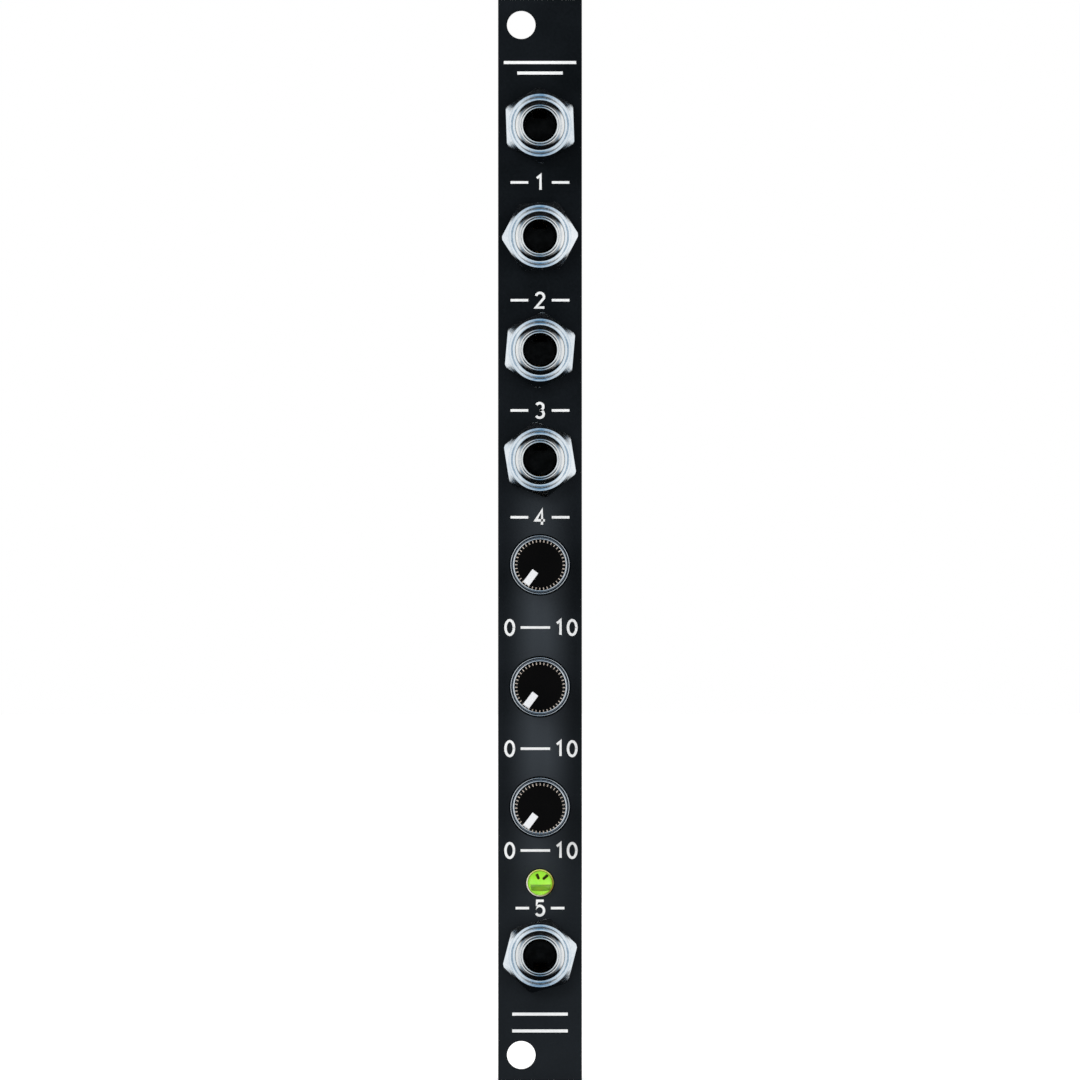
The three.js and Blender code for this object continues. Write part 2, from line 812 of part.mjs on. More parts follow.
function addRotaryControl(index) {
  const name = `control_${index + 1}`;
  const control = new THREE.Group();
  control.position.z = potHeights[index];
  module.add(control);
  addPiece(control, `${name}_bushing`, potBushingGeometry(), bareSteel);
  addPiece(control, `${name}_housing`, potHousingGeometry(), blackPlastic);
  addPiece(control, `${name}_wafer`, potWaferGeometry(), phenolic);
  const turning = new THREE.Group();
  turning.rotation.y = THREE.MathUtils.degToRad(restPointerTurn);
  control.add(turning);
  addPiece(turning, `${name}_shaft`, shaftGeometry(), knobBlack);
  addPiece(turning, `${name}_pointer`, pointerGeometry(), pointerWhite);
}

// Lamp: a domed lens with a flange behind the panel and two leads to the board.
function lampLensGeometry() {
  const radius = lampDiameter / 2;
  const flange = lampFlangeDiameter / 2;
  const tip = panelFront - lampProud;
  const dome = Array.from({ length: lampDomeSteps }, (_, i) => {
    const turn = ((i / lampDomeSteps) * Math.PI) / 2;
    return [radius * Math.cos(turn), tip + radius - radius * Math.sin(turn)];
  });
  const profile = [
    [0, lampFlangeBack],
    [flange, lampFlangeBack],
    [flange, lampFlangeFront],
    [radius, lampFlangeFront],
    ...dome,
    [0, tip],
  ];
  return turned(profile, hiddenSteps);
}

function addLamp() {
  const lamp = new THREE.Group();
  lamp.position.z = lampHeight;
  module.add(lamp);
  addPiece(lamp, "lamp_lens", lampLensGeometry(), greenLens);
  ["cathode", "anode"].forEach((pole, i) => {
    const side = (i - 1 / 2) * lampLeadPitch;
    const lead = block(span(side, lampLeadSize), [lampFlangeBack, pinTailEnd], span(0, lampLeadSize));
    addPiece(lamp, `lamp_${pole}_lead`, lead, bareSteel);
  });
}

// Control board: parallel to the panel, with a hole for each pin and edge notches for bracket legs.
function controlBoardGeometry() {
  const limits = [controlBoardFront - cutOverrun, controlBoardBack + cutOverrun];
  const edge = controlBoardWidth / 2;
  const heights = [controlBoardBottom, controlBoardTop];
  const board = block([-edge, edge], [controlBoardFront, controlBoardBack], heights);
  const pinHole = (x, z, diameter) => moved(rod(diameter / 2, ...limits, padSteps), x, 0, z);
  const jackHoles = jackHeights.flatMap((height) => {
    const up = height === lowestJack ? -1 : 1;
    const places = [tipPinPlace, switchPinPlace, -groundPinPlace];
    return places.map((place) => pinHole(0, height + up * place, pinHoleDiameter));
  });
  const terminalHoles = potHeights.flatMap((height) =>
    Array.from({ length: terminalCount }, (_, i) => {
      const x = (i - (terminalCount - 1) / 2) * terminalPitch;
      return pinHole(x, height - terminalPlace, pinHoleDiameter);
    }),
  );
  const lampHoles = span(0, lampLeadPitch).map((x) => pinHole(x, lampHeight, pinHoleDiameter));
  const notchInner = potLegInner - runningGap;
  const notchWidth = potLegWidth + 2 * runningGap;
  const notches = potHeights.flatMap((height) =>
    [
      [-edge - cutOverrun, -notchInner],
      [notchInner, edge + cutOverrun],
    ].map((sides) => block(sides, limits, span(height, notchWidth))),
  );
  return cut(board, ...jackHoles, ...terminalHoles, ...lampHoles, ...notches);
}

// Places and directions on the main board: the right face looks along +X, the left face along -X.
function mainBoardPlace([heightShare, depthShare]) {
  return [mainBoardFront + depthShare * mainBoardDepth, mainBoardBottom + heightShare * mainBoardHeight];
}

function linkPinHeights(middle, count) {
  return Array.from({ length: count }, (_, i) => middle + (i - (count - 1) / 2) * linkPinPitch);
}

// Main board: upright behind the control board, with bevelled rear corners, tooling holes and pin holes.
function mainBoardGeometry() {
  const shape = new THREE.Shape();
  shape.moveTo(mainBoardFront, mainBoardBottom);
  shape.lineTo(mainBoardBack - mainBoardCorner, mainBoardBottom);
  shape.lineTo(mainBoardBack, mainBoardBottom + mainBoardCorner);
  shape.lineTo(mainBoardBack, mainBoardTop - mainBoardCorner);
  shape.lineTo(mainBoardBack - mainBoardCorner, mainBoardTop);
  shape.lineTo(mainBoardFront, mainBoardTop);
  const sheet = new THREE.ExtrudeGeometry(shape, { depth: boardThickness, bevelEnabled: false });
  sheet.translate(0, 0, -mainBoardFace);
  sheet.applyMatrix4(new THREE.Matrix4().makeBasis(axisY, axisZ, axisX));
  const holeAcross = (y, z, diameter, steps) => {
    const hole = rod(diameter / 2, -mainBoardFace - cutOverrun, mainBoardFace + cutOverrun, steps);
    return moved(hole.rotateZ(Math.PI / 2), 0, y, z);
  };
  const rear = mainBoardBack - toolingHoleInset;
  const tooling = [mainBoardBottom + toolingHoleInset, mainBoardTop - toolingHoleInset].map((z) =>
    holeAcross(rear, z, toolingHoleDiameter, canSteps),
  );
  const linkPins = [
    ...linkPinHeights(upperLinkHeight, upperLinkPins),
    ...linkPinHeights(lowerLinkHeight, lowerLinkPins),
  ];
  const pinHoles = linkPins.map((z) => holeAcross(linkPinBack, z, pinHoleDiameter, padSteps));
  const canHoles = canShares.flatMap((shares) => {
    const [y, z] = mainBoardPlace(shares);
    const leadY = y - canLength / 2 - canLeadRun;
    return span(z, canLeadPitch).map((leadZ) => holeAcross(leadY, leadZ, leadHoleDiameter, padSteps));
  });
  return cut(sheet, ...tooling, ...pinHoles, ...canHoles);
}

// Link socket: a female strip on the control board's rear face.
function linkSocketGeometry(middle, count) {
  const back = controlBoardBack + linkSocketDepth;
  const heights = span(middle, count * linkPinPitch);
  const body = block(span(linkX, linkStripSize), [controlBoardBack, back], heights);
  const holes = linkPinHeights(middle, count).map((z) =>
    block(span(linkX, linkHoleSize), [linkHoleFront, back + cutOverrun], span(z, linkHoleSize)),
  );
  return cut(body, ...holes);
}

// Link pins: a strip on the main board's right face whose pins bend through the board.
function linkPinsGeometry(middle, count) {
  const back = mainBoardFront + linkStripSize;
  const strip = block(
    [mainBoardFace, mainBoardFace + linkStripSize],
    [mainBoardFront, back],
    span(middle, count * linkPinPitch),
  );
  const path = [
    [linkX, linkHoleFront + runningGap],
    [linkX, linkPinBack],
    [-mainBoardFace - pinTailLength, linkPinBack],
  ];
  const pins = linkPinHeights(middle, count).map((z) =>
    moved(bentStrip(path, linkPinSize, linkPinSize, axisX, axisY), 0, 0, z),
  );
  return joined(strip, ...pins);
}

function addLinks() {
  [
    ["upper", upperLinkHeight, upperLinkPins],
    ["lower", lowerLinkHeight, lowerLinkPins],
  ].forEach(([name, middle, count]) => {
    addPiece(module, `${name}_link_socket`, linkSocketGeometry(middle, count), blackPlastic);
    addPiece(module, `${name}_link_pins`, linkPinsGeometry(middle, count), blackPlastic);
  });
}

// Power header: an open shroud with a keyway, and two rows of pins whose tails straddle the board.
function powerHeaderGeometry() {
  const back = headerFront + headerDepth;
  const across = span(0, headerWidth);
  const shroud = block(across, [headerFront, back], span(headerHeight, headerLength));
  const cavityFront = headerFront + headerFloor;
  const cavity = block(
    span(0, headerWidth - 2 * headerWall),
    [cavityFront, back + cutOverrun],
    span(headerHeight, headerLength - 2 * headerWall),
  );
  const keyway = block(
    [0, headerWidth],
    [back - headerKeyDepth, back + cutOverrun],
    span(headerHeight, headerKeyWidth),
  );
  const shell = cut(shroud, cavity, keyway);
  const pins = [];
  for (let row = 0; row < headerRows; row += 1) {
    const x = (row - (headerRows - 1) / 2) * headerRowPitch;
    for (let i = 0; i < headerPinsPerRow; i += 1) {
      const z = headerHeight + (i - (headerPinsPerRow - 1) / 2) * headerPitch;
      const limits = [mainBoardBack - headerTail, cavityFront + headerPinRise];
      pins.push(block(span(x, headerPinSize), limits, span(z, headerPinSize)));
    }
  }
  return joined(shell, ...pins);
}

// Chips lie on a board face: X is the height over the face, and Y and Z run along it.
function chipBody(width, length, thickness) {
  const outline = chamferedRectangle(span(0, width), span(0, length), chipChamfer);
  const shape = new THREE.Shape(outline.map(([y, z]) => new THREE.Vector2(y, z)));
  const body = new THREE.ExtrudeGeometry(shape, { depth: thickness, bevelEnabled: false });
  body.translate(0, 0, chipStandoff);
  return body.applyMatrix4(new THREE.Matrix4().makeBasis(axisY, axisZ, axisX));
}

function chipLeads(bodyHalf, thickness, count, pitch, width) {
  const footHeight = solderGap + leadThickness / 2;
  const path = [
    [bodyHalf - leadRoot, chipStandoff + thickness * leadHeightShare],
    [bodyHalf + leadReach - leadFoot, footHeight],
    [bodyHalf + leadReach, footHeight],
  ];
  return Array.from({ length: count }, (_, i) => {
    const lead = bentStrip(path, leadThickness, width, axisY, axisX);
    return moved(lead, 0, 0, (i - (count - 1) / 2) * pitch);
  });
}

function controllerGeometry() {
  const body = chipBody(controllerSize, controllerSize, controllerThickness);
  const quarterTurns = [0, Math.PI / 2, Math.PI, -Math.PI / 2];
  const leads = quarterTurns.flatMap((turn) =>
    chipLeads(
      controllerSize / 2,
      controllerThickness,
      controllerLeadsPerSide,
      controllerPitch,
      controllerLeadWidth,
    ).map((lead) => lead.rotateX(turn)),
  );
  return joined(body, ...leads);
}

function amplifierGeometry() {
  const body = chipBody(amplifierWidth, amplifierLength, amplifierThickness);
  const leads = [0, Math.PI].flatMap((turn) =>
    chipLeads(
      amplifierWidth / 2,
      amplifierThickness,
      amplifierLeadsPerSide,
      amplifierPitch,
      amplifierLeadWidth,
    ).map((lead) => lead.rotateX(turn)),
  );
  return joined(body, ...leads);
}

function regulatorGeometry() {
  const body = chipBody(regulatorWidth, regulatorLength, regulatorThickness);
  const half = regulatorWidth / 2;
  const leads = chipLeads(half, regulatorThickness, regulatorLeads, regulatorPitch, regulatorLeadWidth);
  const tab = chipLeads(half, regulatorThickness, 1, regulatorPitch, regulatorTabWidth);
  return joined(body, ...leads, ...tab.map((strip) => strip.rotateX(Math.PI)));
}

// Crystal: a pressed can with round ends on a thin flange.
function stadiumAlongX(width, length, low, high) {
  const radius = width / 2;
  const reach = length / 2 - radius;
  const shape = new THREE.Shape();
  shape.absarc(0, reach, radius, 0, Math.PI);
  shape.absarc(0, -reach, radius, Math.PI, 2 * Math.PI);
  const outline = new THREE.Shape(shape.getPoints(crystalArcSteps));
  const prism = new THREE.ExtrudeGeometry(outline, { depth: high - low, bevelEnabled: false });
  prism.translate(0, 0, low);
  return prism.applyMatrix4(new THREE.Matrix4().makeBasis(axisY, axisZ, axisX));
}

function crystalGeometry() {
  const foot = solderGap + crystalFoot;
  const flange = stadiumAlongX(
    crystalWidth + 2 * crystalFlange,
    crystalLength + 2 * crystalFlange,
    foot,
    foot + crystalFlangeThickness,
  );
  const can = stadiumAlongX(crystalWidth, crystalLength, crystalFoot, crystalHeight);
  const base = block(
    [solderGap, foot],
    span(0, crystalWidth),
    span(0, crystalLength),
  );
  return joined(base, flange, can);
}

// Electrolytic capacitor: a crimped can lying on the board, with two leads bent through it.
function canGeometry() {
  const radius = canDiameter / 2;
  const half = canLength / 2;
  const crimp = -half + canCrimpPlace;
  const can = turned(
    [
      [0, half],
      [radius - canEdge, half],
      [radius, half - canEdge],
      [radius, crimp + canCrimpWidth / 2],
      [radius - canCrimpDepth, crimp],
      [radius, crimp - canCrimpWidth / 2],
      [radius, -half + canEdge],
      [radius - canEdge, -half],
      [0, -half],
    ],
    canSteps,
  );
  const axisHeight = solderGap + radius;
  moved(can, axisHeight, 0, 0);
  const path = [
    [axisHeight, -half + canEdge],
    [axisHeight, -half - canLeadRun],
    [-boardThickness - pinTailLength, -half - canLeadRun],
  ];
  const leads = span(0, canLeadPitch).map((z) =>
    moved(bentStrip(path, canLeadSize, canLeadSize, axisX, axisY), 0, 0, z),
  );
  return joined(can, ...leads);
}

// Protection diode: a tapered block with a lead wrapped round each end.
function diodeGeometry() {
  const halfLength = diodeLength / 2;
  const low = chipStandoff;
  const high = chipStandoff + diodeHeight;
  const middle = (low + high) / 2;
  const shape = new THREE.Shape([
    new THREE.Vector2(low, -halfLength + diodeTaper),
    new THREE.Vector2(low, halfLength - diodeTaper),
    new THREE.Vector2(middle, halfLength),
    new THREE.Vector2(high, halfLength - diodeTaper),
    new THREE.Vector2(high, -halfLength + diodeTaper),
    new THREE.Vector2(middle, -halfLength),
  ]);
  const body = new THREE.ExtrudeGeometry(shape, { depth: diodeWidth, bevelEnabled: false });
  body.translate(0, 0, -diodeWidth / 2);
  body.applyMatrix4(new THREE.Matrix4().makeBasis(axisX, axisZ, axisY.clone().negate()));
  const footHeight = solderGap + diodeLeadThickness / 2;
  const path = [
    [halfLength - diodeLeadThickness, middle],
    [halfLength + diodeLeadThickness, middle],
    [halfLength + diodeLeadThickness, footHeight],
    [halfLength - diodeLeadFoot, footHeight],
  ];
  const leads = [0, Math.PI].map((turn) =>
    bentStrip(path, diodeLeadThickness, diodeLeadWidth, axisZ, axisX).rotateX(turn),
  );
  return joined(body, ...leads);
}

// A group on the main board's right or left face, at a place given as shares of the board.
function boardSeat(shares, side) {
  const [y, z] = mainBoardPlace(shares);
  const seat = new THREE.Group();
  seat.position.set(side * mainBoardFace, y, z);
  seat.rotation.y = side > 0 ? 0 : Math.PI;
  module.add(seat);
  return seat;
}

function addComponents() {
  const right = 1;
  const left = -1;
  addPiece(boardSeat(controllerShares, right), "microcontroller", controllerGeometry(), chipEpoxy);
  addPiece(boardSeat(amplifierShares, right), "amplifier_chip", amplifierGeometry(), chipEpoxy);
  addPiece(boardSeat(regulatorShares, right), "voltage_regulator", regulatorGeometry(), chipEpoxy);
  addPiece(boardSeat(crystalShares, left), "crystal", crystalGeometry(), bareSteel);
  canShares.forEach((shares, i) => {
    addPiece(boardSeat(shares, left), `capacitor_${i + 1}`, canGeometry(), canSleeve);
  });
  diodeShares.forEach((shares, i) => {
    addPiece(boardSeat(shares, right), `diode_${i + 1}`, diodeGeometry(), chipEpoxy);
  });
}

addPiece(module, "front_panel", panelGeometry(), blackPaint);
jackHeights.forEach((_, index) => addJack(index));
potHeights.forEach((_, index) => addRotaryControl(index));
addLamp();
addPiece(module, "control_board", controlBoardGeometry(), solderMask);
addPiece(module, "main_board", mainBoardGeometry(), solderMask);
addLinks();
addPiece(module, "power_header", powerHeaderGeometry(), blackPlastic);
addComponents();

export default module;
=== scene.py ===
import math

import bmesh
import bpy
from mathutils import Matrix, Vector


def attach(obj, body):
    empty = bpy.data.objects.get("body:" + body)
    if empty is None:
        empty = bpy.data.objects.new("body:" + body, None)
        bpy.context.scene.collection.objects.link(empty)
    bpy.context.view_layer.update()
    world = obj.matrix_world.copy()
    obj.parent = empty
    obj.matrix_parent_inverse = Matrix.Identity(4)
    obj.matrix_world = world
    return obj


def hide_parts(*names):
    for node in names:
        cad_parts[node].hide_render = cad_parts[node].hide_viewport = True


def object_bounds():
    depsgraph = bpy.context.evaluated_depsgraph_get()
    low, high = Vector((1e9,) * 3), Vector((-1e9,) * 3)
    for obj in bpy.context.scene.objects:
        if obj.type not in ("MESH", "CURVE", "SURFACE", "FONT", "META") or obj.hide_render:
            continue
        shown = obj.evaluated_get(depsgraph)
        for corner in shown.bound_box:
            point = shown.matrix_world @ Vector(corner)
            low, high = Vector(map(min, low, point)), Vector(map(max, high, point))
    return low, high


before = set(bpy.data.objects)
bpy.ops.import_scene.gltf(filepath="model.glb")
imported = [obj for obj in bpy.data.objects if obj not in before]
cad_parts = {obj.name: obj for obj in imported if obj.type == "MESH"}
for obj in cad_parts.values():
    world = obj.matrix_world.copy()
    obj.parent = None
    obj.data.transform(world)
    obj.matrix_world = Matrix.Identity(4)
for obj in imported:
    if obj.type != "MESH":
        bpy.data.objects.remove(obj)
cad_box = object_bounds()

# The studio: the module stands on a pale sweep under three softboxes and is seen square on through a
# long lens. The side walls are white with a grey post in each, the wall behind the camera is pale
# blue, and black cards above and below let turned metal show dark as well as bright.
MM = 0.001


def colour(code):
    """Turns an sRGB hex colour to linear."""
    channels = [int(code[i:i + 2], 16) / 255 for i in (1, 3, 5)]
    return [c / 12.92 if c <= 0.04045 else ((c + 0.055) / 1.055) ** 2.4 for c in channels] + [1.0]


def add(tree, kind, settings=None, links=None):
    """Adds a node. Settings with a small first letter are its properties and the rest its sockets. A link
    comes from a socket, or from the first output of a node."""
    node = tree.nodes.new("ShaderNode" + kind)
    for key, value in (settings or {}).items():
        if isinstance(key, str) and key[0].islower():
            setattr(node, key, value)
        else:
            node.inputs[key].default_value = value
    for key, source in (links or {}).items():
        start = source if isinstance(source, bpy.types.NodeSocket) else source.outputs[0]
        tree.links.new(start, node.inputs[key])
    return node


def placed(title, data):
    thing = bpy.data.objects.new(title, data)
    bpy.context.scene.collection.objects.link(thing)
    return thing


camera_data = bpy.data.cameras.new("long lens")
camera_data.lens = 400
camera_data.sensor_width = 36
camera_data.clip_end = 20
camera = placed("long_lens", camera_data)
picture_width = 128.36
picture_middle = 61.25
panel_front = -2.0
camera_reach = picture_width * camera_data.lens / camera_data.sensor_width
camera.location = (0, (panel_front - camera_reach) * MM, picture_middle * MM)
camera.rotation_euler = (math.radians(90), 0, 0)
bpy.context.scene.camera = camera
bpy.context.scene.view_settings.view_transform = "Standard"

room = bpy.data.worlds.new("white room")
bpy.context.scene.world = room
room.use_nodes = True
tree = room.node_tree
ray = add(tree, "LightPath")
heading = add(tree, "TexCoord")
axes = add(tree, "SeparateXYZ", {}, {0: heading.outputs["Generated"]})
climb = add(tree, "Math", {"operation": "ABSOLUTE"}, {0: axes.outputs["Z"]})
sideways = add(tree, "Math", {"operation": "ABSOLUTE"}, {0: axes.outputs["X"]})
to_side = add(tree, "MapRange", {"From Min": 0.02, "From Max": 0.24}, {"Value": sideways})
to_blue = add(tree, "MapRange", {"From Min": 0.05, "From Max": 0.24}, {"Value": climb})
to_card = add(tree, "MapRange", {"From Min": 0.38, "From Max": 0.56}, {"Value": climb})
behind_camera = add(tree, "Mix", {"data_type": "RGBA", 6: colour("#DFECF4"), 7: colour("#5C90B6")},
                    {0: to_blue})
at_post = add(tree, "Math", {"operation": "COMPARE", 1: 0.57, 2: 0.09}, {0: sideways})
side_wall = add(tree, "Mix", {"data_type": "RGBA", 6: colour("#FFFFFF"), 7: colour("#93A9BC")},
                {0: at_post})
walls = add(tree, "Mix", {"data_type": "RGBA"},
            {0: to_side, 6: behind_camera.outputs[2], 7: side_wall.outputs[2]})
carded = add(tree, "Mix", {"data_type": "RGBA", 7: colour("#0C0E10")}, {0: to_card, 6: walls.outputs[2]})
seen = add(tree, "Math", {"operation": "MAXIMUM"},
           {0: ray.outputs["Is Camera Ray"], 1: ray.outputs["Is Transmission Ray"]})
bright = add(tree, "Math", {"operation": "MAXIMUM"}, {0: seen, 1: ray.outputs["Is Glossy Ray"]})
level = add(tree, "MapRange", {"To Min": 0.72, "To Max": 1.0}, {"Value": bright})
shown = add(tree, "Mix", {"data_type": "RGBA", 6: colour("#FFFFFF")},
            {0: ray.outputs["Is Glossy Ray"], 7: carded.outputs[2]})
tree.links.new(shown.outputs[2], tree.nodes["Background"].inputs["Color"])
tree.links.new(level.outputs[0], tree.nodes["Background"].inputs["Strength"])

module_middle = Vector((0, 20, 61)) * MM
for title, place, size, watts in (
    ("key softbox", (-420, -620, 420), 380, 2.6),
    ("fill softbox", (560, -420, 60), 420, 1.2),
    ("back softbox", (260, 620, 420), 380, 2.0),
):
    softbox = bpy.data.lights.new(title, "AREA")
    softbox.size = size * MM
    softbox.energy = watts
    lamp_stand = placed(title.replace(" ", "_"), softbox)
    lamp_stand.location = Vector(place) * MM
    lamp_stand.rotation_euler = (module_middle - lamp_stand.location).to_track_quat("-Z", "Y").to_euler()
    lamp_stand.visible_camera = False
    lamp_stand.visible_glossy = False

# Floor: matt white card. To the camera it is filled up to plain white and keeps only the module's
# soft shadow.


def new_body():
    """An empty body whose points will know their distance from the turning axis."""
    bm = bmesh.new()
    bm.verts.layers.float.new("turning_radius")
    return bm


def skin(bm, rings, looped=False):
    """Skins rings of points into one closed body, capped at its end rings unless it is looped."""
    from_axis = bm.verts.layers.float.get("turning_radius")
    rows = [[bm.verts.new(point) for point in ring] for ring in rings]
    for vert in (vert for row in rows for vert in row):
        vert[from_axis] = math.hypot(vert.co.x, vert.co.z)
    faces = []
    for here, there in zip(rows, rows[1:] + (rows[:1] if looped else [])):
        for i, corner in enumerate(here):
            after = (i + 1) % len(here)
            faces.append(bm.faces.new((corner, here[after], there[after], there[i])))
    if not looped:
        faces += [bm.faces.new(rows[0]), bm.faces.new(rows[-1])]
    bmesh.ops.recalc_face_normals(bm, faces=faces)
    return faces


def finished_mesh(bm, *finishes, smooth=38):
    """Closes a bmesh drawn in millimetres as a mesh in metres, smooth up to the given edge angle."""
    bmesh.ops.dissolve_degenerate(bm, dist=0.001, edges=bm.edges)
    mesh = bpy.data.meshes.new(finishes[0].name)
    bm.to_mesh(mesh)
    bm.free()
    mesh.transform(Matrix.Scale(MM, 4))
    for one in finishes:
        mesh.materials.append(one)
    mesh.polygons.foreach_set("use_smooth", [True] * len(mesh.polygons))
    mesh.set_sharp_from_angle(angle=math.radians(smooth))
    return mesh


def stand(name, mesh):
    piece = placed(name, mesh)
    flats = piece.modifiers.new("flat faces stay flat", "WEIGHTED_NORMAL")
    flats.keep_sharp = True
    return piece


drift_width = 4


def finish(name, shades, rough, grain, relief, **sockets):
    """A surface whose colour drifts between two shades, with a grain of the given width and relief in
    millimetres that also carries its roughness from the lower to the higher value."""
    material = bpy.data.materials.new(name)
    material.use_nodes = True
    tree = material.node_tree
    surface = tree.nodes["Principled BSDF"]
    for socket, value in sockets.items():
        surface.inputs[socket.replace("_", " ")].default_value = value
    where = add(tree, "TexCoord")
    fine = add(tree, "TexNoise", {"Scale": 0.5 / (grain * MM), "Detail": 3.0, "Roughness": 0.6},
               {"Vector": where.outputs["Object"]})
    drift = add(tree, "TexNoise", {"Scale": 0.5 / (drift_width * MM), "Detail": 2.0},
                {"Vector": where.outputs["Object"]})
    blend = add(tree, "Mix", {"data_type": "FLOAT", 0: 0.35},
                {2: drift.outputs["Fac"], 3: fine.outputs["Fac"]})
    spread = add(tree, "MapRange", {"From Min": 0.35, "From Max": 0.65}, {"Value": blend})
    tint = add(tree, "Mix", {"data_type": "RGBA", 6: colour(shades[0]), 7: colour(shades[1])}, {0: spread})
    gloss = add(tree, "MapRange",
                {"From Min": 0.35, "From Max": 0.65, "To Min": rough[0], "To Max": rough[1]},
                {"Value": fine.outputs["Fac"]})
    bump = add(tree, "Bump", {"Strength": 1.0, "Distance": relief * MM}, {"Height": fine.outputs["Fac"]})
    tree.links.new(tint.outputs[2], surface.inputs["Base Color"])
    tree.links.new(gloss.outputs[0], surface.inputs["Roughness"])
    tree.links.new(bump.outputs["Normal"], surface.inputs["Normal"])
    return material


def circle(x, z, radius, steps=72):
    turns = [t / steps * math.tau for t in range(steps)]
    return [(x - radius * math.sin(turn), z + radius * math.cos(turn)) for turn in turns]


# Matt card: even, with a faint tooth that softens the edge of the shadow.
white_card = finish("white card", ("#F4F4F4", "#FAFAFA"), (0.8, 0.9), 0.4, 0.01)
tree = white_card.node_tree
ray = add(tree, "LightPath")
fill = add(tree, "Emission", {"Color": colour("#FFFFFF"), "Strength": 0.42})
filled = add(tree, "AddShader", {}, {0: tree.nodes["Principled BSDF"].outputs[0], 1: fill})
seen_floor = add(tree, "MixShader", {},
                 {0: ray.outputs["Is Camera Ray"], 1: tree.nodes["Principled BSDF"].outputs[0], 2: filled})
tree.links.new(seen_floor.outputs[0], tree.nodes["Material Output"].inputs["Surface"])
bm = new_body()
floor_top = cad_box[0].z / MM - 0.02
card_radius, card_thick = 3000, 3.98
skin(bm, [[(x, y, level) for x, y in circle(0, 0, card_radius, 32)]
          for level in (floor_top - card_thick, floor_top)])
floor = stand("floor", finished_mesh(bm, white_card))
floor.visible_glossy = False

# Front panel: two width units of 2 mm aluminium sheet, punched for the rails, five jacks, three rotary
# controls and a lamp. Its front edges are broken, and it is blasted, then coated satin black all over.
panel_half_width = 4.98
panel_low, panel_high = -3.0, 125.5
panel_back = 0.0
panel_edge = 0.07
rail_hole_x, rail_hole_radius = -2.23, 1.7
rail_hole_heights = (0.0, 122.5)
jack_hole, control_hole, lamp_hole = 3.15, 3.6, 1.65
jack_heights = (110.495, 97.30175, 83.80225, 70.805, 11.89475)
control_heights = (58.29775, 43.806, 29.498)
lamp_height = 20.49475


def made_up(thing):
    """The mesh of an object with its bevels and cuts made. The object itself is cleared away."""
    bpy.context.view_layer.update()
    mesh = bpy.data.meshes.new_from_object(thing.evaluated_get(bpy.context.evaluated_depsgraph_get()))
    bpy.data.objects.remove(thing)
    return mesh


def sheet(outlines, low, high, edge):
    """A flat sheet in the plane of the panel with rounded edges: the first outline is its rim, and the
    rest are its holes."""
    drawing = bpy.data.curves.new("outline", "CURVE")
    drawing.dimensions = "2D"
    drawing.fill_mode = "BOTH"
    drawing.extrude = (high - low) / 2 - edge
    drawing.bevel_depth = edge
    drawing.bevel_resolution = 1
    drawing.offset = -edge
    for outline in outlines:
        line = drawing.splines.new("POLY")
        line.points.add(len(outline) - 1)
        for point, (x, z) in zip(line.points, outline):
            point.co = (x, z, 0, 1)
        line.use_cyclic_u = True
    bm = new_body()
    bm.from_mesh(made_up(placed("outline", drawing)))
    bmesh.ops.remove_doubles(bm, verts=bm.verts, dist=0.0005)
    bm.transform(Matrix.Translation((0, (low + high) / 2, 0)) @ Matrix.Rotation(math.radians(90), 4, "X"))
    bmesh.ops.recalc_face_normals(bm, faces=bm.faces)
    for vert in bm.verts:
        vert[bm.verts.layers.float["turning_radius"]] = math.hypot(vert.co.x, vert.co.z)
    return bm


def fit(name, mesh, finish_slot, *nodes, at=Matrix(), body="module"):
    """Puts a piece in its place on its body, in the room of the CAD nodes that it stands for."""
    own = mesh.copy()
    own.name = name
    own.transform(at)
    piece = stand(name, own)
    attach(piece, body)
    if nodes:
        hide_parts(*nodes)


# Blasted and coated: a near-black, slightly blue satin with a grain of about 0.15 mm, drawn at 0.2 mm
# so that it shows, and a low reflection. A painted highlight makes it a little paler down the middle
# between the rotary controls, and painted light makes it paler towards the bottom.
coated_aluminium = finish("satin black coating on blasted aluminium", ("#080C0F", "#14181C"), (0.5, 0.62),
                          0.2, 0.014, Specular_IOR_Level=0.04)
tree = coated_aluminium.node_tree
coat = tree.nodes["Principled BSDF"].inputs["Base Color"]
where = add(tree, "TexCoord")
place = add(tree, "SeparateXYZ", {}, {0: where.outputs["Object"]})
off_centre = add(tree, "Math", {"operation": "ABSOLUTE"}, {0: place.outputs["X"]})
near_middle = add(tree, "MapRange",
                  {"interpolation_type": "SMOOTHSTEP", "From Min": 4.4 * MM, "From Max": 0.0},
                  {"Value": off_centre})
from_controls = add(tree, "Math", {"operation": "SUBTRACT", 1: 44 * MM}, {0: place.outputs["Z"]})
reach = add(tree, "Math", {"operation": "ABSOLUTE"}, {0: from_controls})
near_controls = add(tree, "MapRange",
                    {"interpolation_type": "SMOOTHSTEP", "From Min": 34 * MM, "From Max": 8 * MM},
                    {"Value": reach})
painted_highlight = add(tree, "Math", {"operation": "MULTIPLY"}, {0: near_middle, 1: near_controls})
# Painted light: the coat is made paler towards the bottom of the panel.
painted_light_below = add(tree, "MapRange", {"From Min": 90 * MM, "From Max": 0.0, "To Max": 0.2},
               {"Value": place.outputs["Z"]})
paler = add(tree, "Math", {"operation": "ADD", "use_clamp": True}, {0: painted_highlight, 1: painted_light_below})
coat_tone = add(tree, "Mix", {"data_type": "RGBA", 7: colour("#363B40")},
                {0: paler, 6: coat.links[0].from_socket})
tree.links.new(coat_tone.outputs[2], coat)
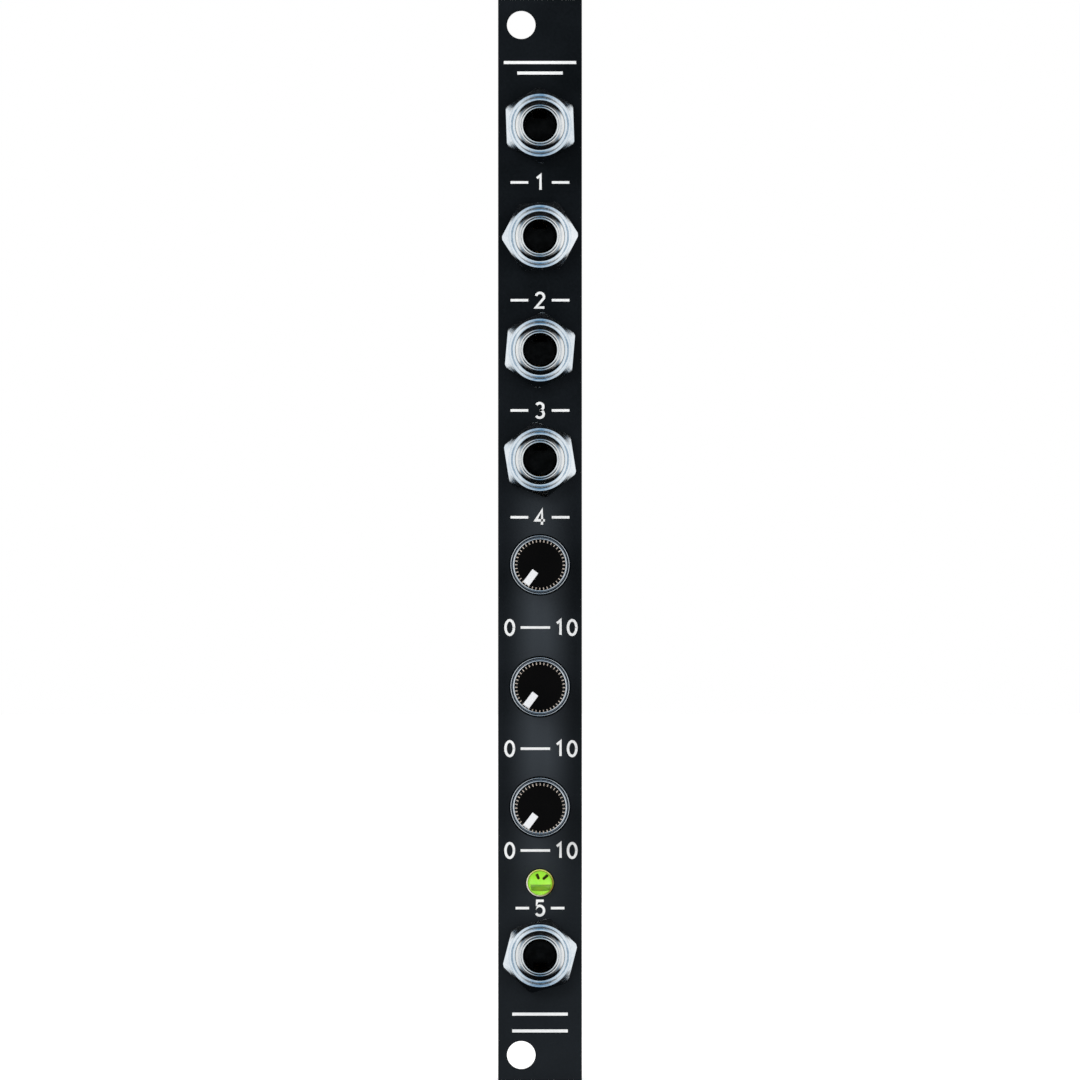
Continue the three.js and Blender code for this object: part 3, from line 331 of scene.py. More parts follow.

# The broken edge gets a darker, matt copy of the coat: painted shade that shows it as a dark line.
shaded_edge_coat = finish("satin black coating with painted shade on the edge", ("#050607", "#0C0E10"), (0.75, 0.9), 0.2,
                     0.01, Specular_IOR_Level=0.0)
x = panel_half_width
rim = [(-x, panel_low), (x, panel_low), (x, panel_high), (-x, panel_high)]
holes = [circle(rail_hole_x, height, rail_hole_radius) for height in rail_hole_heights]
holes += [circle(0, height, jack_hole) for height in jack_heights]
holes += [circle(0, height, control_hole) for height in control_heights]
holes += [circle(0, lamp_height, lamp_hole)]
bm = sheet([rim] + holes, panel_front, panel_back, panel_edge)
bm.normal_update()
# Bevel faces take the darker copy of the coat: painted shade along every edge.
for face in bm.faces:
    face.material_index = 1 if 0.2 < abs(face.normal.y) < 0.95 else 0
fit("panel_sheet", finished_mesh(bm, coated_aluminium, shaded_edge_coat, smooth=20), "panel_paint",
    "front_panel")

# Panel print: white screen-printed ink a fiftieth of a millimetre thick, with plain numbers for the
# jacks and controls and plain rules above and below.

# Epoxy ink: a flat white, a little uneven where it came through the screen.
print_ink = finish("white screen print", ("#DCDEDF", "#F1F2F2"), (0.55, 0.75), 0.12, 0.008,
                   Specular_IOR_Level=0.35)
print_proud = 0.02
X, Y, Z = Vector((1, 0, 0)), Vector((0, 1, 0)), Vector((0, 0, 1))


def formed(bm, path, thickness, width, bend, along, up, middle=(0, 0, 0)):
    """A strip formed round each corner of its path, which runs in the plane of two axes. Its long edges
    are broken by a fifth of its thickness."""
    across = along.cross(up)
    corners = [Vector(point) for point in path]
    points = []
    for i, corner in enumerate(corners):
        if 0 < i < len(corners) - 1 and bend:
            before, after = corners[i - 1] - corner, corners[i + 1] - corner
            reach = min(bend, before.length / 2, after.length / 2)
            start, end = corner + before.normalized() * reach, corner + after.normalized() * reach
            points += [start * (1 - t) ** 2 + corner * 2 * t * (1 - t) + end * t * t
                       for t in (0, 0.25, 0.5, 0.75, 1)]
        else:
            points.append(corner)
    points = [point for i, point in enumerate(points) if i == 0 or (point - points[i - 1]).length > 1e-5]
    rings = []
    broken = min(thickness, width) / 5
    t, w = thickness / 2, width / 2
    section = [(t, w - broken), (t - broken, w), (broken - t, w), (-t, w - broken),
               (-t, broken - w), (broken - t, -w), (t - broken, -w), (t, broken - w)]
    for i, point in enumerate(points):
        before = (point - points[i - 1]).normalized() if i else (points[1] - point).normalized()
        after = (points[i + 1] - point).normalized() if i < len(points) - 1 else before
        heading = (before + after).normalized()
        side = Vector((-heading.y, heading.x)) / max(heading.dot(before), 0.5)
        rings.append([Vector(middle) + along * (point.x + side.x * n) + up * (point.y + side.y * n)
                      + across * m for n, m in section])
    skin(bm, rings)


def block(bm, x, y, z, edge=0.0, segments=2):
    """A block between two limits on each axis, given in either order, with its edges rounded."""
    x, y, z = sorted(x), sorted(y), sorted(z)
    corners = [Vector((x[i], y[j], z[k])) for k in (0, 1) for i, j in ((0, 0), (1, 0), (1, 1), (0, 1))]
    faces = skin(bm, [corners[:4], corners[4:]])
    if edge:
        edges = list({line for face in faces for line in face.edges})
        bmesh.ops.bevel(bm, geom=edges, offset=edge, segments=segments, profile=0.5, affect="EDGES")


print_stroke = 0.3
digit_pitch = 1.45


def bow(x, z, wide, tall, start, end):
    """Points on part of an ellipse, at angles in degrees from the right, anticlockwise."""
    return [(x + wide * math.cos(math.radians(start + (end - start) * i / 20)),
             z + tall * math.sin(math.radians(start + (end - start) * i / 20))) for i in range(21)]


numerals = {
    "0": [bow(0, 0, 0.5, 0.87, 0, 362)],
    "1": [[(-0.36, 0.5), (0.06, 0.87), (0.06, -0.87)]],
    "2": [bow(0, 0.4, 0.47, 0.47, 165, -28) + [(-0.5, -0.87), (0.52, -0.87)]],
    "3": [bow(-0.04, 0.44, 0.43, 0.43, 150, -90), bow(-0.04, -0.42, 0.48, 0.45, 90, -150)],
    "4": [[(0.24, -0.87), (0.24, 0.87), (-0.52, -0.36), (0.58, -0.36)]],
    "5": [[(0.44, 0.87), (-0.34, 0.87), (-0.42, 0.08)] + bow(-0.04, -0.3, 0.52, 0.57, 135, -145)],
}


def printed(name, numbers, height, rules=()):
    """A row of numbers 2 mm tall, each centred on its place across the panel, with printed rules given
    as (left, right, height, thickness)."""
    bm = new_body()
    level = Vector((0, panel_front - print_proud / 2, height))
    for digits, middle in numbers:
        for i, digit in enumerate(digits):
            place = middle + (i - (len(digits) - 1) / 2) * digit_pitch
            for stroke in numerals[digit]:
                formed(bm, stroke, print_stroke, print_proud, 0, X, Z, middle=level + X * place)
    for left, right, rule, thick in rules:
        block(bm, (left, right), (panel_front - print_proud, panel_front),
              (rule - thick / 2, rule + thick / 2))
    fit(name, finished_mesh(bm, print_ink), "panel_paint")


printed("print_top_rules", [], 0, [(-4.3, 4.3, 118.0, 0.36), (-2.7, 2.7, 116.75, 0.36)])
for number, height in enumerate((103.75, 89.75, 76.65, 63.95), 1):
    printed(f"print_jack_{number}", [(str(number), 0)], height,
            [(-3.5, -1.4, height, 0.3), (1.4, 3.5, height, 0.3)])
for number, height in enumerate((50.85, 36.45, 24.35), 1):
    printed(f"print_control_{number}", [("0", -3.6), ("10", 3.1)], height, [(-2.3, 1.2, height, 0.3)])
printed("print_jack_5", [("5", 0)], 17.5, [(-2.9, -1.3, 17.5, 0.3), (1.3, 2.9, 17.5, 0.3)])
printed("print_foot_rules", [], 0, [(-3.3, 3.3, 4.9, 0.36), (-3.3, 3.3, 2.9, 0.36)])

# Jack bushings: brass turned to a threaded tube with a rounded lip, staked to a pressed earth plate
# whose lug is folded down the housing's end to the board, and nickel plated.
lip_front = -4.5
earth_pin = -6.275


def turned(bm, profile, steps, looped=True, change=None):
    """Turns a profile of (radius, y) about the Y axis. change(turn, radius, y) gives a point its radius."""
    rings = []
    for radius, y in profile:
        ring = []
        for step in range(steps):
            turn = step / steps * math.tau
            out = change(turn, radius, y) if change else radius
            ring.append((out * math.sin(turn), y, out * math.cos(turn)))
        rings.append(ring)
    return skin(bm, rings, looped)


def merge(bm, part, place):
    """Moves a part that was drawn on its own into a body."""
    part.transform(place)
    drawn = bpy.data.meshes.new("part")
    part.to_mesh(drawn)
    part.free()
    bm.from_mesh(drawn)
    bpy.data.meshes.remove(drawn)


def post(bm, start, end, size, tip):
    """A straight square pin with pointed ends."""
    start, end = Vector(start), Vector(end)
    heading = (end - start).normalized()
    first = next(axis for axis in (X, Z, Y) if abs(axis.dot(heading)) < 0.1)
    second = heading.cross(first)
    rings = []
    for place, share in ((start, 0.45), (start + heading * tip, 1), (end - heading * tip, 1), (end, 0.45)):
        h, b = size / 2 * share, size / 2 * share * 0.8
        rings.append([place + first * u + second * v for u, v in
                      ((h, b), (b, h), (-b, h), (-h, b), (-h, -b), (-b, -h), (b, -h), (h, -b))])
    skin(bm, rings)


pin_tail_end = 12.6

# Nickel plate over turned brass: a warm grey metal with fine rings from the tool, 0.1 mm apart, that
# spread each reflection out from the axis.
nickel_plate = finish("nickel plate on turned brass", ("#D9DCDD", "#F0F1F0"), (0.09, 0.16), 0.25, 0.004,
                      Metallic=1.0)


def tool_rings(material, spacing, depth):
    """Lays concentric tool marks over a turned piece, from each point's distance to the turning axis."""
    tree = material.node_tree
    surface = tree.nodes["Principled BSDF"]
    under = surface.inputs["Normal"].links[0].from_socket
    reach = add(tree, "Attribute", {"attribute_name": "turning_radius"})
    marks = add(tree, "TexNoise", {"noise_dimensions": "1D", "Detail": 1.5, "Scale": 0.5 / spacing},
                {"W": reach.outputs["Fac"]})
    cut = add(tree, "Bump", {"Strength": 1.0, "Distance": depth * MM},
              {"Height": marks.outputs["Fac"], "Normal": under})
    tree.links.new(cut.outputs["Normal"], surface.inputs["Normal"])


tool_rings(nickel_plate, 0.1, 0.01)
bm = new_body()
turned(bm, [(1.8, 0.4), (2.9, 0.4), (2.9, -4.0), (2.68, -4.145), (2.52, -4.195), (2.5, -4.205),
            (2.47, -4.228), (2.33, -4.234), (2.31, -4.26), (2.21, lip_front + 0.05),
            (2.19, lip_front + 0.015), (2.16, lip_front), (2.05, lip_front), (2.04, lip_front + 0.01),
            (2.02, lip_front + 0.05), (1.9, -3.9), (1.8, -3.7)], 96)
plate_rim = [(-3.7, -6), (3.7, -6), (4.1, -5.6), (4.1, 4.1), (3.7, 4.5), (-3.7, 4.5), (-4.1, 4.1),
             (-4.1, -5.6)]
merge(bm, sheet([plate_rim, circle(0, 0, 2.4, 96)], 0.0, 0.4, 0.08), Matrix())
formed(bm, [(-4, 0.2), (earth_pin, 0.2), (earth_pin, 9.7)], 0.25, 2.0, 0.45, Z, Y)
post(bm, (0, 9.4, earth_pin), (0, pin_tail_end, earth_pin), 0.5, 0.3)
bushing_mesh = finished_mesh(bm, nickel_plate)

# Jack nuts: brass hexagon bar, turned down at the corners, faced, drilled and tapped, then nickel
# plated. Each is run up against the panel by hand and stops at its own turn.
nut_front = -4.0
nut_flat = 4.0
nut_corner = 4.5
nut_face = 3.66
corner_slope = 0.577
nut_turns = (-2, 27.5, 5, -9, 14.5)

# Bright nickel over a faced surface: a blue-white mirror, broken up by the facing tool's rings. They
# are about 0.1 mm apart, and drawn at 0.16 mm so that they show.
nut_plate = finish("bright nickel plate on a faced nut", ("#D0DBE3", "#F5F9FC"), (0.1, 0.18), 0.25, 0.01,
                   Metallic=1.0)
tool_rings(nut_plate, 0.16, 0.03)


def nut_reach(turn):
    """The nut's radius at a turn: its flats, cut back at the corners."""
    sixth = math.tau / 6
    return min(nut_flat / math.cos(turn % sixth - sixth / 2), nut_corner)


bm = new_body()
rings = []
nut_steps = 300
front_half = [(2.93, 1.0), (2.93, 0.06), (2.95, 0.02), (2.98, 0.0), (3.21, 0.015), (3.235, 0.021),
              (3.325, 0.05), (3.345, 0.05), (3.435, 0.021), (3.46, 0.015), (nut_face + 0.03, 0.034),
              (nut_face + 0.06, 0.04), (nut_face + 0.09, 0.052)]
for step in range(nut_steps):
    turn = step / nut_steps * math.tau
    reach = nut_reach(turn)
    drop = (reach - nut_face) * corner_slope
    side = [(reach - 0.04, drop - 0.023), (reach - 0.01, drop), (reach, drop + 0.03)]
    section = [(radius, nut_front + y) for radius, y in front_half + side]
    section += [(radius, 2 * (nut_front + 1) - y) for radius, y in reversed(section[1:])]
    rings.append([(radius * math.sin(turn), y, radius * math.cos(turn)) for radius, y in section])
skin(bm, rings, looped=True)
nut_mesh = finished_mesh(bm, nut_plate, smooth=11)

# Jack housings: black nylon moulded round a core, with a chamber for the contacts at the short end, a
# slot for the switch contact, and ribs and snap lugs on its sides that hold the earth plate.


def carved(bm, cutter):
    """Takes one closed body out of another."""
    pair = []
    for title, one in (("part", bm), ("cutter", cutter)):
        mesh = bpy.data.meshes.new(title)
        one.to_mesh(mesh)
        one.free()
        pair.append(placed(title, mesh))
    pair[0].modifiers.new("carve", "BOOLEAN").object = pair[1]
    pair[0].modifiers["carve"].solver = "EXACT"
    pair[0].modifiers["carve"].use_self = True
    bm = new_body()
    bm.from_mesh(made_up(pair[0]))
    bpy.data.objects.remove(pair[1])
    return bm


# Moulded nylon: a soft black with a faint spark-eroded texture of about 0.1 mm.
moulded_nylon = finish("moulded black nylon", ("#131416", "#1C1D1F"), (0.42, 0.58), 0.14, 0.01)
bm = new_body()
block(bm, (-4.5, 4.5), (0.4, 10.0), (-6.0, 4.5), 0.35, 3)
cutter = new_body()
turned(cutter, [(1.85, -1), (1.85, 11)], 64, looped=False)
block(cutter, (-1.1, 1.1), (1.0, 11), (0, 4.0))
block(cutter, (-0.9, 0.9), (-0.6, 2.2), (1.6, 5.5))
for side in (-1, 1):
    for recess in ((-4.6, -1.9), (-1.2, 3.2)):
        block(cutter, (side * 4.25, side * 5.5), (2.2, 8.6), recess)
bm = carved(bm, cutter)
for side in (-1, 1):
    block(bm, (side * 4.2, side * 4.48), (0.9, 2.0), (-0.9, 1.5), 0.1)
housing_mesh = finished_mesh(bm, moulded_nylon, smooth=30)

# Jack contacts: phosphor bronze strip, blanked and formed. The tip spring noses into the bore, and the
# switch contact hooks over the end wall and rests against it until a plug comes in.
strip_thick = 0.25
tip_pin, switch_pin = 3.38, 4.92


def at_height(height, degrees=0):
    """The place of a piece on the panel's middle line, turned about its axis."""
    return Matrix.Translation((0, 0, height * MM)) @ Matrix.Rotation(math.radians(degrees), 4, "Y")


# Phosphor bronze: a warm brown gold, smooth from the rolls, with a soft shine.
spring_bronze = finish("rolled phosphor bronze", ("#B98D55", "#CBA063"), (0.24, 0.36), 0.25, 0.004,
                       Metallic=1.0)
bm = new_body()
nosed = [(tip_pin, 9.7), (tip_pin, 8.598), (1.25, 5.752), (1.25, 5.052), (2.875, 3.203), (2.875, 2.003)]
formed(bm, nosed, strip_thick, 1.6, 0.5, Z, Y)
post(bm, (0, 9.2, tip_pin), (0, pin_tail_end, tip_pin), 0.5, 0.3)
tip_spring_mesh = finished_mesh(bm, spring_bronze)
bm = new_body()
hooked = [(switch_pin, 9.7), (switch_pin, 1.425), (2.35, 1.425), (2.35, 2.5)]
formed(bm, hooked, strip_thick, 1.2, 0.35, Z, Y)
post(bm, (0, 9.2, switch_pin), (0, pin_tail_end, switch_pin), 0.5, 0.3)
switch_contact_mesh = finished_mesh(bm, spring_bronze)

for number, height in enumerate(jack_heights, 1):
    seat = at_height(height, 180 if number == 5 else 0)
    jack = f"jack_{number}"
    fit(f"{jack}_threaded_bushing", bushing_mesh, "nickel_plate", f"{jack}_bushing", at=seat)
    fit(f"{jack}_moulded_housing", housing_mesh, "jack_plastic", f"{jack}_housing", at=seat)
    fit(f"{jack}_bronze_tip_spring", tip_spring_mesh, "contact_bronze", f"{jack}_tip_spring", at=seat,
        body=f"spring_{number}")
    fit(f"{jack}_bronze_switch_contact", switch_contact_mesh, "contact_bronze",
        f"{jack}_switch_contact", at=seat)
    fit(f"{jack}_hexagon_nut", nut_mesh, "nickel_nut", f"{jack}_nut",
        at=at_height(height, nut_turns[number - 1]))

# Rotary control bushings: free-cutting steel with an M7 thread, level with the panel, riveted into a
# pressed steel bracket whose two legs run back through the board. Plated dull zinc.

# Dull zinc: blue grey, with the turning rings still showing through the thin plate. The front rims
# get a much paler copy, a painted highlight that shows them as bright lines.
bushing_steel = finish("dull zinc plate on turned steel", ("#505962", "#737C86"), (0.2, 0.32), 0.2, 0.003,
                       Metallic=1.0)
tool_rings(bushing_steel, 0.14, 0.03)
highlit_zinc_edge = finish("zinc plate with a painted highlight on the edge", ("#D3D8DC", "#EEF0F2"), (0.16, 0.26), 0.2, 0.001,
                         Metallic=1.0)
thread_pitch = 0.75
thread_depth = 0.4


def threaded(turn, radius, y):
    """Cuts the thread's groove into the outside of the tube."""
    if radius < 3.49 or y > 3.0 or y < -1.7:
        return radius
    rise = ((y / thread_pitch - turn / math.tau) % 1) * 2 - 1
    return radius - thread_depth * min(1, max(0, 1.15 * (1 - abs(rise)) - 0.05))


bm = new_body()
thread = [(3.5, 3.85 - i * thread_pitch / 12) for i in range(92)]
turned(bm, [(2.85, 3.85)] + thread
       + [(3.5, -1.87), (3.5, -1.96), (3.49, -1.99), (3.47, -2.0), (3.39, -2.0), (3.37, -1.985),
          (3.35, -1.97), (3.19, -1.97), (3.17, -1.985), (3.15, -2.0), (3.02, -2.0), (2.97, -1.98),
          (2.9, -1.93), (2.85, -1.86)], 96, change=threaded)
# The inner and outer rims of the front face take the paler copy: painted highlights.
for face in bm.faces:
    middle = face.calc_center_median()
    reach = math.hypot(middle.x, middle.z)
    face.material_index = 1 if middle.y < -1.9 and (reach < 3.18 or reach > 3.36) else 0
top_half = [(-4.7, 1.4), (-4.7, 4.0), (-3.9, 4.8), (3.9, 4.8), (4.7, 4.0), (4.7, 1.4)]
bracket = top_half + [(-x, -z) for x, z in top_half]
plate = sheet([bracket, circle(0, 0, 3.1, 96)], 3.2, 3.9, 0.08)
merge(bm, plate, Matrix())
for side in (-1, 1):
    formed(bm, [(side * 3.6, 3.45), (side * 4.45, 3.45), (side * 4.45, 11.6)], 0.5, 2.0, 0.4, X, Y)
    formed(bm, [(side * 4.45, 10.9), (side * 4.45, pin_tail_end)], 0.5, 1.2, 0, X, Y)
control_bushing_mesh = finished_mesh(bm, bushing_steel, highlit_zinc_edge)

# Rotary control housings: black nylon moulded with a rounded head, a bore for the shaft and two ribs
# at its square end. The bracket's legs hold it against the bushing.
bm = new_body()
head = []
for x, first in ((2.0, 0), (-2.0, 90)):
    turns = [math.radians(angle) for angle in range(first, first + 91, 10)]
    head += [(x + 2 * math.cos(turn), 2.6 + 2 * math.sin(turn)) for turn in turns]
outline = head + [(-4.0, -5.5), (-3.5, -6.0), (3.5, -6.0), (4.0, -5.5)]
body = sheet([outline], 3.9, 8.6, 0.15)
cutter = new_body()
turned(cutter, [(2.85, 3), (2.85, 5.9)], 64, looped=False)
block(cutter, (-1.5, 1.5), (4.6, 7.8), (4.35, 5))
bm = carved(body, cutter)
for side in (-1, 1):
    block(bm, (side * 2.6, side * 3.4), (3.95, 8.55), (-6.12, -5.9), 0.06)
control_housing_mesh = finished_mesh(bm, moulded_nylon, smooth=30)

# Rotary control wafers: punched phenolic paper, brown with a fibre fleck, with three tinned terminals
# riveted on and bent back through the board.

# Phenolic paper: a fibrous brown. Tin over steel: a soft white metal with a slightly clouded shine.
phenolic = finish("punched phenolic paper", ("#5E3F24", "#7A5635"), (0.5, 0.7), 0.2, 0.01)
tinned = finish("tinned lead", ("#B9BBBA", "#CCCECD"), (0.25, 0.42), 0.2, 0.006, Metallic=1.0)
bm = new_body()
block(bm, (-4.0, 4.0), (8.6, 9.6), (-6.3, 4.9), 0.08)
wafer_mesh = finished_mesh(bm, phenolic)
bm = new_body()
terminal_places, terminal_pin = (-2.5, 0, 2.5), -7.0
for x in terminal_places:
    formed(bm, [(-5.0, 9.1), (terminal_pin, 9.1), (terminal_pin, pin_tail_end)], 0.3, 0.8, 0.35, Z, Y,
           middle=(x, 0, 0))
    rivet = new_body()
    turned(rivet, [(0.1, 9.55), (0.7, 9.55), (0.75, 9.62), (0.6, 9.75), (0.1, 9.8)], 24, looped=False)
    merge(bm, rivet, Matrix.Translation((x, 0, -5.0)))
terminals_mesh = finished_mesh(bm, tinned)

# Rotary control shafts: black nylon with forty fine teeth on the crown for a push-on cap, a bevelled
# end and a moulded flat face that takes the pointer.

# Fine-grained nylon: almost black, with next to no shine on its flat end. The tips of the teeth are
# painted pale, painted highlights that show as a ring of ticks.
shaft_nylon = finish("moulded black nylon shaft", ("#020202", "#070606"), (0.34, 0.46), 0.12, 0.006,
                     Specular_IOR_Level=0.04)
highlit_tooth_nylon = finish("nylon with painted highlights on the teeth", ("#8E8278", "#D9CDC0"), (0.3, 0.42), 0.1, 0.006,
                    Specular_IOR_Level=0.6)
crown_teeth = 40
tooth_depth = 0.24


def toothed(turn, radius, y):
    """Cuts the grooves between the crown's teeth."""
    if radius < 2.68 or y > -2.29:
        return radius
    wave = (turn / math.tau * crown_teeth) % 1
    valley = min(1, max(0, 1.35 * (1 - abs(wave * 2 - 1)) - 0.15))
    return radius - tooth_depth * valley * min(1, (radius - 2.6) / 0.3)


bm = new_body()
turned(bm, [(0.05, -8.5), (2.58, -8.5), (2.64, -8.49), (2.7, -8.45), (2.96, -8.2), (3.0, -8.13),
            (3.0, -8.05), (3.0, -2.45), (2.98, -2.3), (2.5, -2.29), (2.5, 5.2), (2.1, 5.6), (0.05, 5.6)],
       crown_teeth * 8, looped=False, change=toothed)
# Faces at the crests of the teeth on the bevel take the pale nylon: painted highlights.
for face in bm.faces:
    middle = face.calc_center_median()
    from_crest = abs((math.atan2(middle.x, middle.z) / math.tau * crown_teeth + 0.5) % 1 - 0.5)
    painted_highlight = math.hypot(middle.x, middle.z) > 2.68 and middle.y < -7.8 and from_crest < 0.15
    face.material_index = 1 if painted_highlight else 0
shaft_mesh = finished_mesh(bm, shaft_nylon, highlit_tooth_nylon, smooth=32)

# Pointers: a white plastic bar, moulded on its own and pressed into a groove in the shaft's face. It
# runs out over the bevel.

# White acetal: plain, with a soft shine.
pointer_white = finish("white moulded bar", ("#D6D7DA", "#E5E6E8"), (0.4, 0.5), 0.12, 0.004)
bm = new_body()
rings = []
half = 0.43
for z, fall, narrow in ((0.91, 0.03, 0.05), (0.94, 0.0, 0.015), (1.0, 0.0, 0), (2.6, 0.0, 0),
                        (2.68, 0.02, 0), (2.74, 0.08, 0), (2.8, 0.16, 0.01), (2.82, 0.2, 0.04)):
    w = half - narrow
    top = -8.62 + fall
    rings.append([(-w, top + 0.04, z), (-w + 0.05, top, z), (w - 0.05, top, z), (w, top + 0.04, z),
                  (w, -8.45 + fall, z), (-w, -8.45 + fall, z)])
skin(bm, rings)
pointer_mesh = finished_mesh(bm, pointer_white)

first_stop = 216.5
for number, height in enumerate(control_heights, 1):
    seat, turn = at_height(height), at_height(height, first_stop)
    control = f"control_{number}"
    fit(f"{control}_threaded_bushing", control_bushing_mesh, "bushing_steel", f"{control}_bushing", at=seat)
    fit(f"{control}_moulded_housing", control_housing_mesh, "control_plastic", f"{control}_housing",
        at=seat)
    fit(f"{control}_phenolic_wafer", wafer_mesh, "wafer_phenolic", f"{control}_wafer", at=seat)
    fit(f"{control}_terminals", terminals_mesh, "tinned_lead", f"{control}_wafer", at=seat)
    fit(f"{control}_toothed_shaft", shaft_mesh, "shaft_plastic", f"{control}_shaft", at=turn,
        body=f"shaft_{number}")
    fit(f"{control}_white_pointer", pointer_mesh, "pointer_white", f"{control}_pointer", at=turn,
        body=f"shaft_{number}")

# Lamp: a 3 mm light-emitting diode cast in green-tinted clear epoxy, with its lead frame inside and a
# flange behind the panel.

# Cast epoxy: as clear and smooth as glass, with a green tint.
tinted_epoxy = finish("green-tinted clear epoxy", ("#C4F27A", "#D0F68C"), (0.04, 0.08), 0.8, 0.001,
                      Transmission_Weight=1.0, IOR=1.5)
seat = at_height(lamp_height)
bm = new_body()
dome = [(1.5 * math.cos(math.radians(a)), -2.2 - 1.5 * math.sin(math.radians(a))) for a in range(0, 88, 8)]
turned(bm, [(0.02, 1.6), (1.86, 1.6), (1.9, 1.56), (1.9, 0.64), (1.86, 0.6), (1.5, 0.58)] + dome
       + [(0.02, -3.7)], 72, looped=False)
fit("lamp_epoxy_lens", finished_mesh(bm, tinted_epoxy, smooth=50), "lamp_epoxy", "lamp_lens", at=seat)

# The edge of the casting is painted as a highlight: pale at the left, yellow at the top and amber at
# the right.
painted_rim_highlight = finish("painted highlight on the cast epoxy edge", ("#F8E6E4", "#FFF8F4"), (0.3, 0.4), 0.5, 0.002)
tree = painted_rim_highlight.node_tree
edge_tone = tree.nodes["Principled BSDF"].inputs["Base Color"]
where = add(tree, "TexCoord")
place = add(tree, "SeparateXYZ", {}, {0: where.outputs["Object"]})
to_right = add(tree, "MapRange", {"From Min": -0.4 * MM, "From Max": 1.3 * MM},
               {"Value": place.outputs["X"]})
to_top = add(tree, "MapRange", {"From Min": (lamp_height + 0.3) * MM, "From Max": (lamp_height + 1.4) * MM},
             {"Value": place.outputs["Z"]})
right_edge = add(tree, "Mix", {"data_type": "RGBA", 7: colour("#A5863C")},
                 {0: to_right, 6: edge_tone.links[0].from_socket})
top_edge = add(tree, "Mix", {"data_type": "RGBA", 7: colour("#E9EE84")},
               {0: to_top, 6: right_edge.outputs[2]})
tree.links.new(top_edge.outputs[2], edge_tone)
rim_inside = 1.5


def thick_at_left(turn, radius, y):
    """Widens the painted highlight on the rim inwards at the left."""
    return radius - 0.1 * max(0, -math.sin(turn + 0.45)) if radius < rim_inside else radius


# A thin ring round the lens's edge that carries the painted highlight.
bm = new_body()
turned(bm, [(1.46, -2.02), (1.61, -2.02), (1.61, -2.1), (1.55, -2.17), (1.48, -2.14)], 72,
       change=thick_at_left)
fit("lamp_bright_rim", finished_mesh(bm, painted_rim_highlight), "lamp_epoxy", at=seat)

# Lamp core: the dyed, slightly milky epoxy round the lead frame, which gives the lamp its bright
# yellow-green body, and the two posts, painted dark as shade, that stand in it as an open V.

# The dye lights up in daylight, so the core glows and hardly shades; painted shade darkens it to olive at
# its edge.
milky_epoxy = finish("milky dyed epoxy", ("#93DA50", "#BEE45E"), (0.5, 0.6), 0.35, 0.002,
                     Emission_Strength=0.88)
tree = milky_epoxy.node_tree
milky_surface = tree.nodes["Principled BSDF"]
dye = milky_surface.inputs["Base Color"].links[0].from_socket
reach = add(tree, "Attribute", {"attribute_name": "turning_radius"})
painted_shade_ring = add(tree, "MapRange", {"From Min": 1.22, "From Max": 1.34, "To Max": 0.8},
                {"Value": reach.outputs["Fac"]})
glow = add(tree, "Mix", {"data_type": "RGBA", 7: colour("#86802C")}, {0: painted_shade_ring, 6: dye}).outputs[2]
body = add(tree, "HueSaturation", {"Value": 0.5}, {"Color": glow})
tree.links.new(glow, milky_surface.inputs["Emission Color"])
tree.links.new(body.outputs[0], milky_surface.inputs["Base Color"])
bm = new_body()
turned(bm, [(0.02, 1.3), (1.38, 1.3), (1.4, 1.25), (1.4, -2.2), (1.3, -2.5), (0.02, -2.6)], 48,
       looped=False)
fit("lamp_milky_core", finished_mesh(bm, milky_epoxy), "lamp_epoxy", at=seat)

# Lead-frame posts: painted shade, nearly black with a red-brown cast, where they show dark against the
# glow.
shaded_post = finish("lead-frame post in painted shade", ("#2A0F0C", "#472214"), (0.4, 0.55), 0.2, 0.004)
bm = new_body()
for top, foot in (((-0.33, 0.9), (-0.1, 0.36)), ((0.84, 0.86), (0.27, 0.35))):
    across = Vector((foot[0] - top[0], 0, foot[1] - top[1]))
    sideways = Vector((across.z, 0, -across.x)).normalized()
    rings = []
    for share, half in ((0, 0.1), (0.08, 0.15), (0.9, 0.12), (1, 0.07)):
        middle = Vector((top[0], -2.66, top[1])) + across * share
        rings.append([middle + sideways * half + Y * 0.1, middle + sideways * half - Y * 0.06,
                      middle - sideways * half - Y * 0.06, middle - sideways * half + Y * 0.1])
    skin(bm, rings)
fit("lamp_lead_posts", finished_mesh(bm, shaded_post), "lamp_epoxy", at=seat)

# Seen through the dye, the frame is a mottled olive band.
frame_olive = finish("dyed epoxy over the lead frame", ("#5E9F42", "#9AA44A"), (0.4, 0.55), 0.3, 0.004,
                     Emission_Strength=0.36)
tree = frame_olive.node_tree
tree.links.new(tree.nodes["Principled BSDF"].inputs["Base Color"].links[0].from_socket,
               tree.nodes["Principled BSDF"].inputs["Emission Color"])
bm = new_body()
block(bm, (-0.92, 1.1), (-2.66, -2.5), (-0.76, -0.14), 0.05)
fit("lamp_lead_frame", finished_mesh(bm, frame_olive), "lamp_epoxy", at=seat)

# Lamp wires: tinned steel half a millimetre square, with a stub where the tie bar between them was cut
# off. They run back 2.54 mm apart and are soldered into the control board.
pin_pitch = 2.54
for side, pole in ((-1, "cathode"), (1, "anode")):
    bm = new_body()
    x = side * pin_pitch / 2
    post(bm, (x, 1.5, 0), (x, pin_tail_end, 0), 0.5, 0.15)
    block(bm, (x - 0.36, x + 0.36), (3.6, 4.1), (-0.25, 0.25), 0.08)
    fit(f"lamp_{pole}_wire", finished_mesh(bm, tinned), "tinned_lead", f"lamp_{pole}_lead", at=seat)

# Boards: 1.6 mm glass-epoxy laminate, routed to shape and drilled, under a satin black solder mask.
# The edge shows the straw-coloured laminate with its glass layers.

